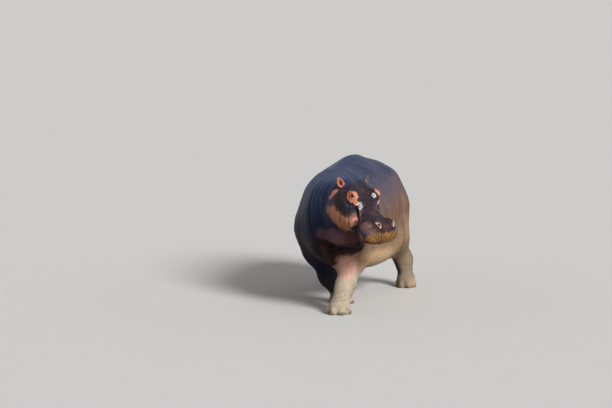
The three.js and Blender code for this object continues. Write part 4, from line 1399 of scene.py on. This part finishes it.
# The tail's two fringes: stiff bristles down its sides and round its end.
fringe = {
    "look": "tailHair",
    "count": 520,
    "seed": 41,
    "length": (22, 62),
    "thickness": (0.6, 1.1),
    "fall": 0.5,
    "spread": 0.2,
    "root": (0.03, 0.022, 0.02),
    "tip": (0.10, 0.07, 0.05),
}
height = skinPoints[:, 2]
onTail = smoothStep(60, 40, pathDistance(skinPoints, np.array(tailPath[2:], float)))
onTail *= smoothStep(860, 760, height)
onTail *= smoothStep(0.25, 0.75, np.abs(normals[:, 0]) + smoothStep(705, 690, height))
roots, outward, draw = scattered(onTail, fringe["count"], fringe["seed"])
ways = outward * (1, 0.45, 0.5) + (0, 0.1, -0.9)
ways = unitRows(ways + fringe["spread"] * draw.normal(size=outward.shape))
unwrapped = np.stack((0.5 + np.arctan2(outward[:, 0], outward[:, 1]) / (2 * math.pi),
                      (roots[:, 2] - 660) / 220), 1)
bristlePiece("tail_fringe", fringe, roots, ways, draw, unwrapped)
print("bristles")

# Stage: a plain pale floor, a soft key from the animal's left front, and an even fill.
stage = {
    "floor": 170.0,  # metres each way
    "tone": (0.84, 0.83, 0.81),
    "toneDark": (0.74, 0.73, 0.71),
    "bounce": (0.34, 0.30, 0.25),  # its colour by the light that it throws back on the animal
    "keyTurn": (50, 31),  # degrees round and up
    "keyStrength": 2.9,
    "keyAngle": 18,
    "fill": 0.22,
    "sky": 0.92,  # the backdrop as it is seen
}


# A plane of one face at the ground's height.
def stageFloor():
    half = stage["floor"] / 2
    corners = [(-half, -half, 0), (half, -half, 0), (half, half, 0), (-half, half, 0)]
    data = bpy.data.meshes.new("floor")
    data.from_pydata(corners, [], [(0, 1, 2, 3)])
    ground = bpy.data.objects.new("floor", data)
    bpy.context.collection.objects.link(ground)
    look = newLook("floor")
    pale = look.mix(look.noise(0.9, 3) * 0.12, stage["tone"], stage["toneDark"])
    colour = look.mix(look.seen(), stage["bounce"], pale)
    data.materials.append(look.finish({"Base Color": colour, "Roughness": 0.9}))


# White all round: the fill lights the animal, and the sky's strength is what is seen.
def backdrop():
    world = bpy.data.worlds.new("world")
    bpy.context.scene.world = world
    look = Look(world)
    strength = stage["fill"] + (stage["sky"] - stage["fill"]) * look.seen()
    light = look.node("Background", None, {"Color": (1.0, 1.0, 1.0), "Strength": strength})
    look.node("OutputWorld", None, {"Surface": light.outputs[0]})


# Unit vectors of a view: rightwards, upwards and back towards the viewer.
def viewVectors(azimuth, elevation):
    a, e = math.radians(azimuth), math.radians(elevation)
    right = Vector((math.cos(a), math.sin(a), 0))
    back = Vector((math.sin(a) * math.cos(e), -math.cos(a) * math.cos(e), math.sin(e)))
    return right, back.cross(right), back


stageFloor()
backdrop()
key = bpy.data.lights.new("key", "SUN")
key.energy = stage["keyStrength"]
key.angle = math.radians(stage["keyAngle"])
keyLamp = bpy.data.objects.new("key", key)
keyLamp.rotation_euler = viewVectors(*stage["keyTurn"])[2].to_track_quat("Z", "Y").to_euler()
bpy.context.collection.objects.link(keyLamp)

shot = {"azimuth": 16, "elevation": 8.5, "right": -0.5867, "up": 1.0244, "distance": 112.0,
        "lens": 615.2}
right, up, back = viewVectors(shot["azimuth"], shot["elevation"])
lens = bpy.data.cameras.new("camera")
lens.lens = shot["lens"]
lens.sensor_width = 36
lens.clip_end = 500
camera = bpy.data.objects.new("camera", lens)
camera.location = right * shot["right"] + up * shot["up"] + back * shot["distance"]
camera.rotation_euler = back.to_track_quat("Z", "Y").to_euler()
bpy.context.collection.objects.link(camera)
bpy.context.scene.camera = camera
bpy.context.scene.view_settings.view_transform = "Standard"

print("stage")
